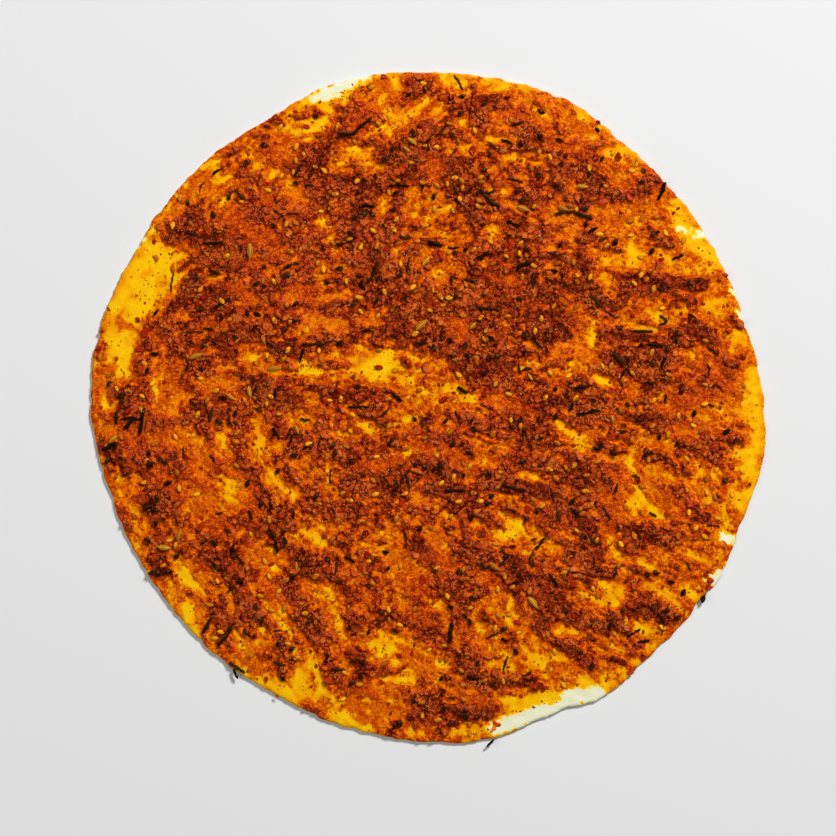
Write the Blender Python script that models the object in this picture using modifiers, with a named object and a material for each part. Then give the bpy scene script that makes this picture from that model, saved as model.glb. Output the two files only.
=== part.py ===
"""Pepper flatbread: a thin, hand-rolled round of dough under a coarse red pepper spread.

The dough is a turned profile, pulled out to an uneven outline and given a gently wavy top.
The spread is a sheet cut from a triangle grid wherever the spoon left it, then thickened.
Both read the same two functions, rim_radius() and dough_top(), so they fit at any size.

Metres, +Z up. The bread lies on z = 0 with the middle of its outline at the origin.
"""

import math

import bmesh
import bpy
from mathutils import Vector, noise

MM = 0.001

# ---------------------------------------------------------------- driving dimensions
MEAN_RADIUS = 136.8 * MM
DOUGH_THICKNESS = 3.2 * MM
RIM_THICKNESS = 2.0 * MM
RIM_TAPER = 24.0 * MM  # how far in from the rim the dough reaches its full thickness
RIM_ROUND = 1.1 * MM
WAVE_HEIGHT = 0.4 * MM
WAVE_LENGTH = 55.0 * MM

SPREAD_GAP = 0.3 * MM  # clearance that keeps the two solids apart
SPREAD_EDGE = 0.5 * MM  # thickness where the spread ends
SPREAD_BODY = 1.0 * MM  # added away from its edges
SPREAD_LUMPS = 0.45 * MM
LUMP_LENGTH = 17.0 * MM
SPREAD_SHOULDER = 6.0 * MM
SPREAD_MARGIN = 1.6 * MM  # dough left showing outside the spread at the rim
RAGGED_HEIGHT = 1.5 * MM
RAGGED_LENGTH = 11.0 * MM

SEGMENTS = 84
TOP_RINGS = (0.0, 0.15, 0.3, 0.45, 0.6, 0.74, 0.84, 0.9, 0.95)  # shares of the radius
NOSE_STEPS = (90, 45, 0, -45, -90)  # degrees round the rounded rim, from its top to its underside
CELL = 6.8 * MM
SLIVER = 0.9 * MM  # closer points than this are merged after the sheet is cut
TOUCHING = 0.01 * MM

WAVE_SEED = 3.1
RAGGED_SEED = 7.7
LUMP_SEED = 12.4

# The outline bulges and flattens as it was rolled: bearing from +X in degrees, radius in mm.
OUTLINE = (
    (0, 137.8), (7, 136.4), (14, 134.4), (22, 134.1), (32, 133.9), (42, 134.2), (50, 134.7),
    (57, 135.7), (63, 138.0), (72, 138.3), (81, 137.8), (90, 137.8), (99, 138.3), (108, 138.2),
    (114, 136.9), (120, 135.6), (127, 136.0), (134, 136.4), (143, 136.5), (151, 136.0),
    (158, 137.3), (165, 138.6), (174, 139.2), (180, 138.7), (186, 137.2), (192, 135.8),
    (200, 134.6), (210, 134.0), (221, 133.7), (231, 134.0), (241, 133.7), (250, 134.6),
    (258, 135.6), (265, 137.0), (273, 138.0), (281, 138.2), (287, 136.7), (295, 136.4),
    (300, 138.8), (307, 137.8), (313, 136.2), (319, 137.2), (325, 136.2), (330, 138.9),
    (336, 137.4), (343, 137.3), (350, 139.0), (355, 138.9),
)  # fmt: skip

# Where the spoon drew the spread off the dough: start, end and width of each swipe, in mm.
SWIPES = (
    # left side, a wide bare band along the rim
    ((-110, 60), (-121, 46), 24), ((-124, 44), (-130, 20), 16), ((-128, 20), (-126, 12), 9),
    ((-110, 12), (-108, 2), 8), ((-74, 22), (-68, 20), 8), ((-54, 19), (-47, 14), 7),
    # upper left, with the dry lip of dough at the rim
    ((-98, 92), (-83, 96), 10), ((-58, 122), (-22, 137), 13), ((-58, 112), (-42, 118), 10),
    ((-34, 102), (-24, 102), 11), ((-26, 108), (-10, 119), 7), ((-12, 122), (2, 125), 7),
    ((-18, 124), (-15, 135), 8),
    # top and upper right
    ((6, 134), (14, 133), 7), ((20, 134), (44, 130), 6), ((60, 116), (66, 114), 9),
    ((74, 107), (85, 101), 9), ((98, 88), (104, 82), 9), ((2, 81), (7, 80), 9),
    ((71, 79), (80, 76), 8), ((84, 79), (106, 78), 9), ((100, 74), (114, 72), 8),
    ((72, 64), (88, 63), 9), ((106, 66), (119, 60), 11),
    # right side
    ((104, 42), (127, 43), 7), ((84, 37), (100, 37), 9), ((64, 31), (70, 31), 9),
    ((123, 34), (129, 23), 11), ((51, 17), (66, 19), 8), ((134, 17), (131, 8), 7),
    ((122, -1), (138, -2), 8), ((58, -12), (67, -15), 7), ((81, -12), (87, -15), 8),
    ((126, -21), (138, -10), 10), ((122, -36), (133, -26), 10), ((120, -43), (130, -42), 8),
    # middle
    ((-30, 19), (-14, 20), 13), ((-32, 13), (-16, 13), 7), ((-5, 20), (-12, 8), 7),
    ((3, 7), (13, 7), 8), ((13, 4), (30, 2), 6), ((-17, -5), (-7, -5), 7),
    # lower right
    ((83, -33), (90, -37), 8), ((84, -42), (97, -43), 9), ((102, -24), (116, -28), 7),
    ((88, -62), (97, -63), 8), ((64, -74), (76, -77), 9), ((108, -55), (124, -54), 7),
    ((85, -90), (98, -93), 7), ((52, -93), (66, -97), 8), ((46, -101), (54, -106), 8),
    ((30, -124), (55, -118), 12), ((55, -117), (78, -112), 10), ((30, -52), (46, -56), 7),
    # lower middle and lower left
    ((28, -77), (40, -95), 6), ((21, -84), (25, -95), 7), ((-24, -96), (-8, -98), 8),
    ((-11, -99), (6, -107), 7), ((-29, -121), (-12, -124), 7), ((-47, -103), (-40, -116), 7),
    ((-40, -116), (-23, -131), 8), ((-102, -66), (-97, -80), 8), ((-107, -78), (-94, -88), 6),
    ((-74, -105), (-50, -120), 8), ((-84, -29), (-80, -36), 9), ((-95, -42), (-86, -38), 8),
    ((-129, -34), (-123, -31), 8), ((-65, -27), (-57, -37), 6), ((-70, -8), (-70, -18), 6),
)  # fmt: skip

DOUGH_COLOUR = (0.86, 0.50, 0.05, 1.0)
SPREAD_COLOUR = (0.38, 0.085, 0.025, 1.0)


# ---------------------------------------------------------------- the shape as functions
def smooth(t):
    """0 to 1 with a soft start and end."""
    t = min(1.0, max(0.0, t))
    return t * t * (3 - 2 * t)


def outline_radius(bearing):
    """Radius of the outline at a bearing in degrees: a smooth closed curve through OUTLINE."""
    bearing %= 360
    count = len(OUTLINE)
    here = max(i for i in range(count) if OUTLINE[i][0] <= bearing)
    points = []
    for step in (-1, 0, 1, 2):
        turns, index = divmod(here + step, count)
        points.append((OUTLINE[index][0] + 360 * turns, OUTLINE[index][1]))
    (a0, r0), (a1, r1), (a2, r2), (a3, r3) = points
    slope_in = (r2 - r0) / (a2 - a0) * (a2 - a1)
    slope_out = (r3 - r1) / (a3 - a1) * (a2 - a1)
    t = (bearing - a1) / (a2 - a1)
    return MM * (
        r1 * (1 + 2 * t) * (1 - t) ** 2
        + slope_in * t * (1 - t) ** 2
        + r2 * t * t * (3 - 2 * t)
        - slope_out * t * t * (1 - t)
    )


def outline_middle():
    """Centre of the outline's box, which becomes the origin."""
    points = []
    for step in range(SEGMENTS):
        turn = math.tau * step / SEGMENTS
        radius = outline_radius(math.degrees(turn))
        points.append((radius * math.cos(turn), radius * math.sin(turn)))
    xs, ys = zip(*points)
    return Vector(((min(xs) + max(xs)) / 2, (min(ys) + max(ys)) / 2, 0))


def rim_radius(x, y):
    return outline_radius(math.degrees(math.atan2(y, x)))


def waves(x, y, length, seed):
    """Soft unevenness between -1 and 1."""
    return noise.noise(Vector((x / length, y / length, seed)))


def dough_top(x, y):
    """Height of the dough's upper face, thinner towards the rim."""
    inside = rim_radius(x, y) - math.hypot(x, y)
    body = smooth(inside / RIM_TAPER)
    thickness = RIM_THICKNESS + (DOUGH_THICKNESS - RIM_THICKNESS) * body
    return thickness + WAVE_HEIGHT * body * waves(x, y, WAVE_LENGTH, WAVE_SEED)


def from_swipe(x, y, swipe):
    """Distance from the edge of a swipe, below zero inside it."""
    start, end, width = swipe
    start, end = Vector(start) * MM, Vector(end) * MM
    along = end - start
    point = Vector((x, y))
    share = (point - start).dot(along) / along.length_squared
    nearest = start + along * min(1.0, max(0.0, share))
    return (point - nearest).length - width * MM / 2


def spread_cover(x, y):
    """Distance into the spread from its nearest edge, below zero where the dough is bare."""
    inside = rim_radius(x, y) - math.hypot(x, y) - SPREAD_MARGIN
    cover = min(inside, min(from_swipe(x, y, swipe) for swipe in SWIPES))
    return cover + RAGGED_HEIGHT * waves(x, y, RAGGED_LENGTH, RAGGED_SEED)


def spread_thickness(x, y, cover):
    body = smooth(cover / SPREAD_SHOULDER)
    lumps = SPREAD_LUMPS * waves(x, y, LUMP_LENGTH, LUMP_SEED)
    return SPREAD_EDGE + body * (SPREAD_BODY + lumps)


# ---------------------------------------------------------------- building
def clear_scene():
    for thing in list(bpy.data.objects):
        bpy.data.objects.remove(thing)


def new_material(name, colour, roughness):
    material = bpy.data.materials.new(name)
    material.use_nodes = True
    shader = material.node_tree.nodes["Principled BSDF"]
    shader.inputs["Base Color"].default_value = colour
    shader.inputs["Roughness"].default_value = roughness
    shader.inputs["Metallic"].default_value = 0.0
    return material


def finish_object(name, mesh, material, collection):
    thing = bpy.data.objects.new(name, mesh)
    mesh.materials.append(material)
    mesh.shade_smooth()
    mesh.set_sharp_from_angle(angle=math.radians(40))
    collection.objects.link(thing)
    return thing


def turned_blank(collection):
    """The dough before it is pulled out of round: its profile turned about Z, as a mesh."""
    profile = [(MEAN_RADIUS * share, DOUGH_THICKNESS) for share in TOP_RINGS]
    shoulder = MEAN_RADIUS - RIM_ROUND
    for turn in map(math.radians, NOSE_STEPS):
        height = RIM_THICKNESS / 2 * (1 + math.sin(turn))
        profile.append((shoulder + RIM_ROUND * math.cos(turn), height))
    profile.append((0.0, 0.0))
    line = bpy.data.meshes.new("dough_profile")
    edges = [(i, i + 1) for i in range(len(profile) - 1)]
    line.from_pydata([(x, 0, z) for x, z in profile], edges, [])
    blank = bpy.data.objects.new("dough_blank", line)
    collection.objects.link(blank)
    screw = blank.modifiers.new("turn", "SCREW")
    screw.steps = screw.render_steps = SEGMENTS
    screw.use_merge_vertices = True
    screw.merge_threshold = TOUCHING
    bpy.context.view_layer.update()
    turned = blank.evaluated_get(bpy.context.evaluated_depsgraph_get())
    mesh = bpy.data.meshes.new_from_object(turned)
    bpy.data.objects.remove(blank)
    return mesh


def make_dough(middle, material, collection):
    """Pulls the turned blank out to the outline and gives its top the dough's waves."""
    mesh = turned_blank(collection)
    mesh.name = "dough"
    shoulder = MEAN_RADIUS - RIM_ROUND
    for vertex in mesh.vertices:
        x, y, z = vertex.co
        radius = math.hypot(x, y)
        if radius > TOUCHING:
            share = min(radius / shoulder, 1.0)
            nose = max(radius - shoulder, 0.0)
            pull = (share * (rim_radius(x, y) - RIM_ROUND) + nose) / radius
            x, y = x * pull, y * pull
        if z > DOUGH_THICKNESS - TOUCHING:
            z = dough_top(x, y)
        vertex.co = Vector((x, y, z)) - middle
    return finish_object("dough", mesh, material, collection)


def triangle_grid():
    """A flat sheet of equal-sided triangles, a little wider than the bread."""
    row = CELL * math.sqrt(3) / 2
    half = math.ceil((MEAN_RADIUS + 2 * CELL) / row)
    sheet = bmesh.new()
    bmesh.ops.create_grid(sheet, x_segments=2 * half, y_segments=2 * half, size=half)
    for vertex in sheet.verts:
        line = round(vertex.co.y)
        shift = CELL / 2 if line % 2 else 0.0
        vertex.co = Vector((vertex.co.x * CELL + shift, line * row, 0))
    bmesh.ops.triangulate(sheet, faces=sheet.faces[:], quad_method="SHORT_EDGE")
    return sheet


def keep_largest(sheet):
    """Drops every loose scrap, so that what is left is one body."""
    left = set(sheet.faces)
    pieces = []
    while left:
        piece = [left.pop()]
        for face in piece:
            neighbours = {other for edge in face.edges for other in edge.link_faces}
            piece.extend(neighbours & left)
            left -= neighbours
        pieces.append(piece)
    pieces.sort(key=len)
    scraps = [face for piece in pieces[:-1] for face in piece]
    bmesh.ops.delete(sheet, geom=scraps, context="FACES")


def open_pinches(sheet):
    """Removes points where two edges of the sheet meet, which no closed body can have."""
    while True:
        pinches = [v for v in sheet.verts if sum(e.is_boundary for e in v.link_edges) > 2]
        if not pinches:
            return
        bmesh.ops.delete(sheet, geom=pinches, context="VERTS")


def cut_to_cover(sheet):
    """Stands the sheet on its cover values and cuts it off where they pass zero."""
    for vertex in sheet.verts:
        vertex.co.z = spread_cover(vertex.co.x, vertex.co.y)
    bmesh.ops.bisect_plane(
        sheet,
        geom=sheet.verts[:] + sheet.edges[:] + sheet.faces[:],
        dist=TOUCHING,
        plane_co=(0, 0, 0),
        plane_no=(0, 0, 1),
        clear_inner=True,
    )
    covers = sheet.verts.layers.float.new("cover")
    for vertex in sheet.verts:
        vertex[covers] = vertex.co.z
        vertex.co.z = 0
    bmesh.ops.remove_doubles(sheet, verts=sheet.verts[:], dist=SLIVER)
    bmesh.ops.triangulate(sheet, faces=sheet.faces[:])
    open_pinches(sheet)
    keep_largest(sheet)
    loose = [vertex for vertex in sheet.verts if not vertex.link_faces]
    bmesh.ops.delete(sheet, geom=loose, context="VERTS")
    return covers


def make_spread(middle, material, collection):
    sheet = triangle_grid()
    covers = cut_to_cover(sheet)
    lower = sheet.verts[:]
    grown = bmesh.ops.extrude_face_region(sheet, geom=sheet.faces[:], use_keep_orig=True)
    upper = [item for item in grown["geom"] if isinstance(item, bmesh.types.BMVert)]
    for vertex in lower:
        vertex.co.z = dough_top(vertex.co.x, vertex.co.y) + SPREAD_GAP
    for vertex in upper:
        x, y = vertex.co.x, vertex.co.y
        floor = dough_top(x, y) + SPREAD_GAP
        vertex.co.z = floor + spread_thickness(x, y, vertex[covers])
    bmesh.ops.triangulate(sheet, faces=sheet.faces[:])
    bmesh.ops.recalc_face_normals(sheet, faces=sheet.faces[:])
    bmesh.ops.translate(sheet, verts=sheet.verts[:], vec=-middle)
    mesh = bpy.data.meshes.new("pepper_spread")
    sheet.to_mesh(mesh)
    sheet.free()
    return finish_object("pepper_spread", mesh, material, collection)


def main():
    clear_scene()
    collection = bpy.data.collections.new("pepper_flatbread")
    bpy.context.scene.collection.children.link(collection)
    middle = outline_middle()
    make_dough(middle, new_material("oiled_dough", DOUGH_COLOUR, 0.45), collection)
    make_spread(middle, new_material("pepper_spread", SPREAD_COLOUR, 0.55), collection)
    for thing in collection.objects:
        thing.data.calc_loop_triangles()
        print(thing.name, len(thing.data.loop_triangles), "triangles", thing.dimensions)


main()
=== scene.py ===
# %% [markdown]
# # A pepper flatbread, from the frame up
#
# The real thing is a thin round of soft dough, smeared by hand with a coarse, oily paste of
# chopped peppers, seeds and dried herbs. Two solids hold its true shape and size: the dough and
# the spread. This script builds what the eye sees around them. Everything is worked out in
# millimetres, because that is how a cook's eye measures seeds and crumbs, and turned into metres
# at the last moment.

# %% Load the frame
import math

import bmesh
import bpy
import numpy as np
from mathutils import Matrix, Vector
from mathutils.bvhtree import BVHTree


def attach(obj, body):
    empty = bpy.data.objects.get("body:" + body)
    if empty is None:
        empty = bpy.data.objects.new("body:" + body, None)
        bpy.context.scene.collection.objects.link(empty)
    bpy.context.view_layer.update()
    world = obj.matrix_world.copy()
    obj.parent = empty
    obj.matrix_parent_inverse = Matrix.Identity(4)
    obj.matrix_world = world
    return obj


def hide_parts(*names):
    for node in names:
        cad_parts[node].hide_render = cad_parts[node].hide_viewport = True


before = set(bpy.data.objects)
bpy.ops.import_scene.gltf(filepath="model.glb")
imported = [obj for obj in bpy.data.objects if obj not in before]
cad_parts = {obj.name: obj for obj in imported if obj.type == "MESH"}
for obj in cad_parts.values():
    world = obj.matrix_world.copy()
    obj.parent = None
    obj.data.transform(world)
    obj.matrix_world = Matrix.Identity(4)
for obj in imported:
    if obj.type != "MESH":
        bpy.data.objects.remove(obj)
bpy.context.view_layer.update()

MM = 0.001
dough_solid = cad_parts["dough"]
spread_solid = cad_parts["pepper_spread"]

# %% [markdown]
# ## A map of the bread
#
# Almost every decision here depends on where a point lies: how far in from the rim, how deep
# into the spread, which way the spoon went. Asking that again for every vertex would be slow and
# would scatter the same rules over the script. So a square map, half a millimetre to the cell,
# holds each of these as one array, and any piece can read it at any place.

# %% The map and how it is read
CELL = 0.5
REACH = 144.0  # from the middle of the map to its sides
AXIS = np.arange(-REACH, REACH, CELL)
X, Y = np.meshgrid(AXIS, AXIS)
FREQUENCY = np.fft.fftfreq(len(AXIS), CELL)
FREQUENCY_2 = FREQUENCY[:, None] ** 2 + FREQUENCY[None, :] ** 2


def at(field, x, y):
    """Reads a field at places in millimetres, blending the four cells around each."""
    column = np.clip((np.asarray(x) + REACH) / CELL, 0, len(AXIS) - 1.001)
    row = np.clip((np.asarray(y) + REACH) / CELL, 0, len(AXIS) - 1.001)
    c, r = column.astype(int), row.astype(int)
    u, v = column - c, row - r
    low = field[r, c] * (1 - u) + field[r, c + 1] * u
    high = field[r + 1, c] * (1 - u) + field[r + 1, c + 1] * u
    return low * (1 - v) + high * v


def blurred(field, spread):
    """The field softened by a bell curve that many millimetres wide."""
    kept = np.exp(-2 * (math.pi * spread) ** 2 * FREQUENCY_2)
    return np.fft.ifft2(np.fft.fft2(field) * kept).real


def smooth(low, high, value):
    """0 at low, 1 at high and past it, and an S between them."""
    t = np.clip((value - low) / (high - low), 0, 1)
    return t * t * (3 - 2 * t)


def grain(size, seed):
    """Even noise with lumps about that many millimetres across, mostly between -2 and 2."""
    rough = np.random.default_rng(seed).standard_normal(X.shape)
    soft = blurred(rough, size / 4)
    return soft / soft.std()


print("map of", X.shape, "cells")

# %% [markdown]
# ## What the frame says
#
# The outline, the dough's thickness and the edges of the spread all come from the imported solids,
# so that the looks can never drift away from them. The outline is read from the ring of points
# at the rounded rim. The dough's height comes from dropping a plumb line on its top, and the
# distance to the spread's edge from its upright walls.

# %% Measure the solids
SURVEY = 2  # one sample in this many cells, the rest filled in between them
LEVEL = 0.05  # points this near in height belong to one ring
OVERHEAD = 20.0  # where plumb lines start, well above the bread
STEEP = 0.5  # a wall's normal rises less than this and a roof's more
HALFWAY = 0.5  # about half the spread's height above the dough


def tree_of(node, keep=lambda face: True):
    """A node's faces in millimetres, ready for rays and nearest-point questions."""
    corners = [vertex.co / MM for vertex in node.data.vertices]
    faces = [tuple(face.vertices) for face in node.data.polygons if keep(face)]
    return BVHTree.FromPolygons(corners, faces)


def surveyed(measure):
    """A field that measure(x, y) gives at some cells, with straight lines between them."""
    coarse = AXIS[::SURVEY]
    rows = np.array([[measure(x, y) for x in coarse] for y in coarse])
    rows = np.array([np.interp(AXIS, coarse, row) for row in rows])
    return np.array([np.interp(AXIS, coarse, column) for column in rows.T]).T


points = np.array([vertex.co / MM for vertex in dough_solid.data.vertices])
radii = np.hypot(points[:, 0], points[:, 1])
level = points[np.argmax(radii), 2]
on_rim = (np.abs(points[:, 2] - level) < LEVEL) & (radii > REACH / 2)
bearings = np.degrees(np.arctan2(points[on_rim, 1], points[on_rim, 0]))
around = np.argsort(bearings)
rim_bearings, rim_radii = bearings[around], radii[on_rim][around]


def rim(x, y):
    """The bread's radius in millimetres in the direction of a place."""
    return np.interp(np.degrees(np.arctan2(y, x)), rim_bearings, rim_radii, period=360)


RIM_ROUND = 1.2  # how far in from the outline the dough's top starts to roll over
INSIDE = rim(X, Y) - np.hypot(X, Y)
dough_tree = tree_of(dough_solid)
wall_tree = tree_of(spread_solid, lambda face: abs(face.normal.z) < STEEP)
roof_tree = tree_of(spread_solid, lambda face: face.normal.z > STEEP)
PLUMB = Vector((0, 0, -1))


def dough_height(x, y):
    """The dough's top at a place, or out at the rim the top a little way in from it."""
    flat = float(rim(x, y)) - 1.5 * RIM_ROUND
    pull = min(1.0, flat / max(math.hypot(x, y), 1.0))
    return dough_tree.ray_cast(Vector((x * pull, y * pull, OVERHEAD)), PLUMB)[0].z


def into_spread(x, y):
    """Millimetres from the spread's nearest edge, below zero off the spread."""
    hit = roof_tree.ray_cast(Vector((x, y, OVERHEAD)), PLUMB)[0]
    level = hit.z if hit else dough_height(x, y) + HALFWAY
    away = wall_tree.find_nearest(Vector((x, y, level)))[3]
    return away if hit else -away


DOUGH_TOP = blurred(surveyed(dough_height), 1.5)
EDGE = surveyed(into_spread)
print("dough top", DOUGH_TOP[INSIDE > 0].min().round(2), "to", DOUGH_TOP.max().round(2), "mm")
print("spread covers", round(float((EDGE > 0)[INSIDE > 0].mean()), 2), "of the round")

# %% [markdown]
# ## Which way the spoon went
#
# The paste was pushed about with the back of a spoon, so its ridges, the gaps in it and the
# smears at its edges all run the same way in any one place, and that way changes over the round.
# A few strokes, each a place and a direction, are enough to describe it. Between them the
# direction is a mean, weighted by nearness, of doubled angles, because a stroke has no front.
# Noise that is averaged along the direction then looks dragged.

# %% Strokes
STROKES = (
    (90, -80, -42), (60, -60, -46), (75, -100, -38), (105, -40, -32), (115, 10, -14), (90, 50, -12),
    (105, 72, -14), (60, 90, -14), (30, 115, 8), (-20, 112, 22), (-70, 95, 36), (-108, 62, 58),
    (-122, 15, 86), (-100, -60, -66), (-70, -95, -58), (-35, -95, -64), (-10, -115, -30),
    (30, -95, -38), (-20, 20, 6), (0, -5, -6), (20, -30, -12), (0, 60, 4), (-60, 40, 8),
    (-60, -20, -50), (-85, -35, -40), (40, 30, -10), (50, -125, 18),
)  # fmt: skip
STROKE_CORE = 60  # square millimetres; a stroke's pull is even this close to it

lean_x, lean_y = np.zeros_like(X), np.zeros_like(X)
for x, y, degrees in STROKES:
    nearness = 1 / ((X - x) ** 2 + (Y - y) ** 2 + STROKE_CORE)
    lean_x += nearness**1.5 * math.cos(2 * math.radians(degrees))
    lean_y += nearness**1.5 * math.sin(2 * math.radians(degrees))
WAY = np.arctan2(lean_y, lean_x) / 2 + 0.25 * grain(30, 11)
WAY_X, WAY_Y = np.cos(WAY), np.sin(WAY)


def dragged(field, reach, steps=9):
    """The field averaged that far each way along the strokes."""
    shares = np.linspace(-reach, reach, steps)
    return sum(at(field, X + s * WAY_X, Y + s * WAY_Y) for s in shares) / steps


def even(field):
    """The field with its mean at 0 and its usual swing at 1."""
    return (field - field.mean()) / field.std()


RIDGES = even(dragged(grain(3.0, 21), 7))
BROAD_RIDGES = even(dragged(grain(7.0, 22), 12))
FINE_RIDGES = even(dragged(grain(1.3, 23), 3))
print("strokes", len(STROKES))

# %% [markdown]
# ## Where the paste is thin
#
# The solid spread has the wide gaps. Many small ones remain: places where the spoon scraped down
# to the dough, and others where only a film of oil and pepper is left. Each is a short swipe with
# two ends and a width. Where the spoon was lifted it left dollops, most of them at the rim, given
# the same way. Ragged noise, dragged along the strokes, then eats into every edge.

# %% Swipes
SCRAPED = (
    # left
    ((-111, 75), (-96, 97), 4), ((-88, 10), (-82, 11), 4), ((-104, -12), (-99, -12), 5),
    ((-86, -11), (-83, -18), 6), ((-70, -5), (-69, -18), 8), ((-68, -18), (-61, -15), 4),
    ((-56, -5), (-51, -5), 5), ((-75, 23), (-68, 20), 5), ((-53, 15), (-50, 18), 5),
    ((-124, -51), (-120, -57), 5), ((-102, -66), (-96, -76), 9), ((-106, -73), (-98, -86), 7),
    ((-96, -86), (-93, -91), 5), ((-68, -59), (-63, -65), 7), ((-60, -63), (-60, -65), 4),
    ((-90, 84), (-80, 89), 6), ((-88, 98), (-80, 99), 6), ((-134, 4), (-131, 0), 4),
    ((-121, -43), (-119, -51), 7), ((-130, 25), (-122, 24), 6), ((-64, -27), (-59, -36), 4),
    ((-98, 88), (-92, 94), 5), ((-60, 30), (-50, 31), 3), ((-66, 17), (-62, 15), 4),
    ((-90, 54), (-86, 52), 3), ((-93, -14), (-92, -26), 3), ((-134, -6), (-131, -14), 3),
    ((-82, -30), (-80, -37), 9),
    # top
    ((-75, 104), (-75, 106), 5), ((-71, 99), (-71, 101), 4), ((-64, 96), (-57, 91), 5),
    ((13, 117), (19, 111), 4), ((5, 135), (14, 132), 6), ((28, 132), (46, 130), 5),
    ((4, 120), (4, 122), 4), ((28, 118), (28, 120), 3), ((22, 109), (31, 110), 3.5),
    ((10, 106), (17, 107), 4), ((33, 103), (45, 103), 3.5), ((-8, 73), (12, 74), 5),
    ((1, 81), (7, 78), 6), ((-5, 84), (-5, 86), 5), ((-18, 81), (-18, 83), 4),
    ((26, 71), (27, 76), 5), ((25, 88), (25, 90), 4), ((-13, 62), (-13, 65), 4),
    ((-6, 61), (-3, 62), 4), ((-40, 68), (-35, 60), 3.5), ((-43, 77), (-41, 73), 3.5),
    ((60, 117), (66, 112), 8), ((74, 98), (79, 95), 5), ((92, 63), (112, 59), 4),
    ((6, 69), (16, 68), 3.5), ((100, 59), (118, 58), 8), ((104, 66), (114, 60), 8),
    ((84, 70), (91, 69), 4), ((73, 61), (83, 60), 8), ((-58, 109), (-51, 112), 4),
    ((-25, 110), (-21, 114), 3.5), ((104, 61), (112, 58), 9), ((24, 90), (32, 88), 4),
    ((-31, 101), (-29, 98), 3.5), ((52, 80), (58, 79), 3), ((-6, 79), (6, 78), 5),
    ((44, 121), (48, 120), 3),
    # middle
    ((-50, -23), (-50, -28), 4), ((3, 55), (11, 55), 5), ((-43, 53), (-43, 55), 5),
    ((-7, 5), (3, 5), 8), ((3, 12), (3, 17), 4), ((-34, -9), (-19, -8), 6),
    ((21, -15), (32, -17), 5.5), ((22, -22), (25, -22), 5), ((-41, -25), (-41, -33), 4.5),
    ((-11, -18), (-8, -19), 4), ((4, -41), (9, -46), 3), ((40, 17), (43, 18), 4),
    ((31, -40), (42, -44), 7), ((-48, 2), (-40, 0), 3), ((-52, -49), (-36, -50), 5),
    ((31, -49), (37, -50), 7), ((40, -28), (44, -29), 4), ((-28, 23), (-18, 22), 8),
    ((-50, 17), (-40, 14), 5.5), ((-38, 22), (-30, 20), 5), ((9, 7), (22, 3), 5),
    ((-12, 16), (-6, 10), 5), ((-12, -4), (-6, -5), 4), ((-34, 10), (-26, 10), 4),
    # right
    ((70, 11), (75, 9), 5), ((82, 3), (84, 8), 6), ((94, 3), (96, 5), 5), ((109, 21), (113, 24), 5),
    ((53, -6), (57, -11), 4), ((90, -13), (98, -16), 4), ((82, -21), (84, -26), 5),
    ((91, -25), (99, -29), 4), ((112, -27), (117, -34), 6), ((71, 56), (75, 48), 4),
    ((115, 56), (121, 48), 6), ((109, -31), (115, -38), 5), ((124, 26), (129, 23), 7),
    ((86, 37), (91, 34), 4), ((111, -3), (115, -6), 4),
    # bottom
    ((-55, -52), (-44, -54), 6), ((-63, -83), (-56, -93), 5), ((-68, -92), (-65, -97), 4),
    ((-58, -106), (-50, -116), 9), ((-41, -74), (-38, -88), 4), ((-37, -90), (-34, -97), 2.5),
    ((-23, -93), (-10, -99), 6), ((-18, -112), (-7, -111), 6), ((-26, -53), (-14, -56), 7),
    ((-14, -62), (-3, -67), 4), ((-16, -72), (-12, -80), 5), ((2, -52), (6, -56), 5),
    ((20, -50), (31, -54), 5), ((2, -82), (6, -89), 6), ((28, -100), (47, -107), 6),
    ((4, -111), (8, -117), 6), ((-9, -133), (-1, -134), 6), ((12, -133), (24, -131), 7),
    ((0, -106), (7, -108), 4), ((22, -85), (27, -94), 7), ((-49, -101), (-44, -113), 5),
    ((-46, -112), (-36, -122), 6), ((-22, -101), (-14, -106), 4), ((-78, -93), (-76, -97), 3),
    ((-54, -105), (-51, -117), 12), ((-53, -49), (-46, -54), 10), ((40, -101), (48, -106), 8),
    ((-70, -97), (-66, -95), 5), ((-50, -74), (-45, -78), 4), ((28, -105), (36, -107), 6),
    ((-2, -108), (2, -109), 4),
    # lower right
    ((63, -77), (71, -81), 7), ((91, -73), (99, -78), 7), ((105, -72), (111, -79), 7),
    ((101, -80), (107, -86), 7), ((85, -103), (89, -107), 6), ((72, -97), (80, -98), 5),
    ((49, -53), (52, -62), 5), ((73, -51), (76, -59), 5), ((77, -63), (84, -74), 7),
    ((104, -60), (118, -62), 6), ((104, -66), (113, -70), 4), ((71, -75), (77, -77), 10),
    ((117, -52), (121, -59), 6), ((121, -42), (125, -49), 7), ((43, -55), (49, -57), 4),
)  # fmt: skip
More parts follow.
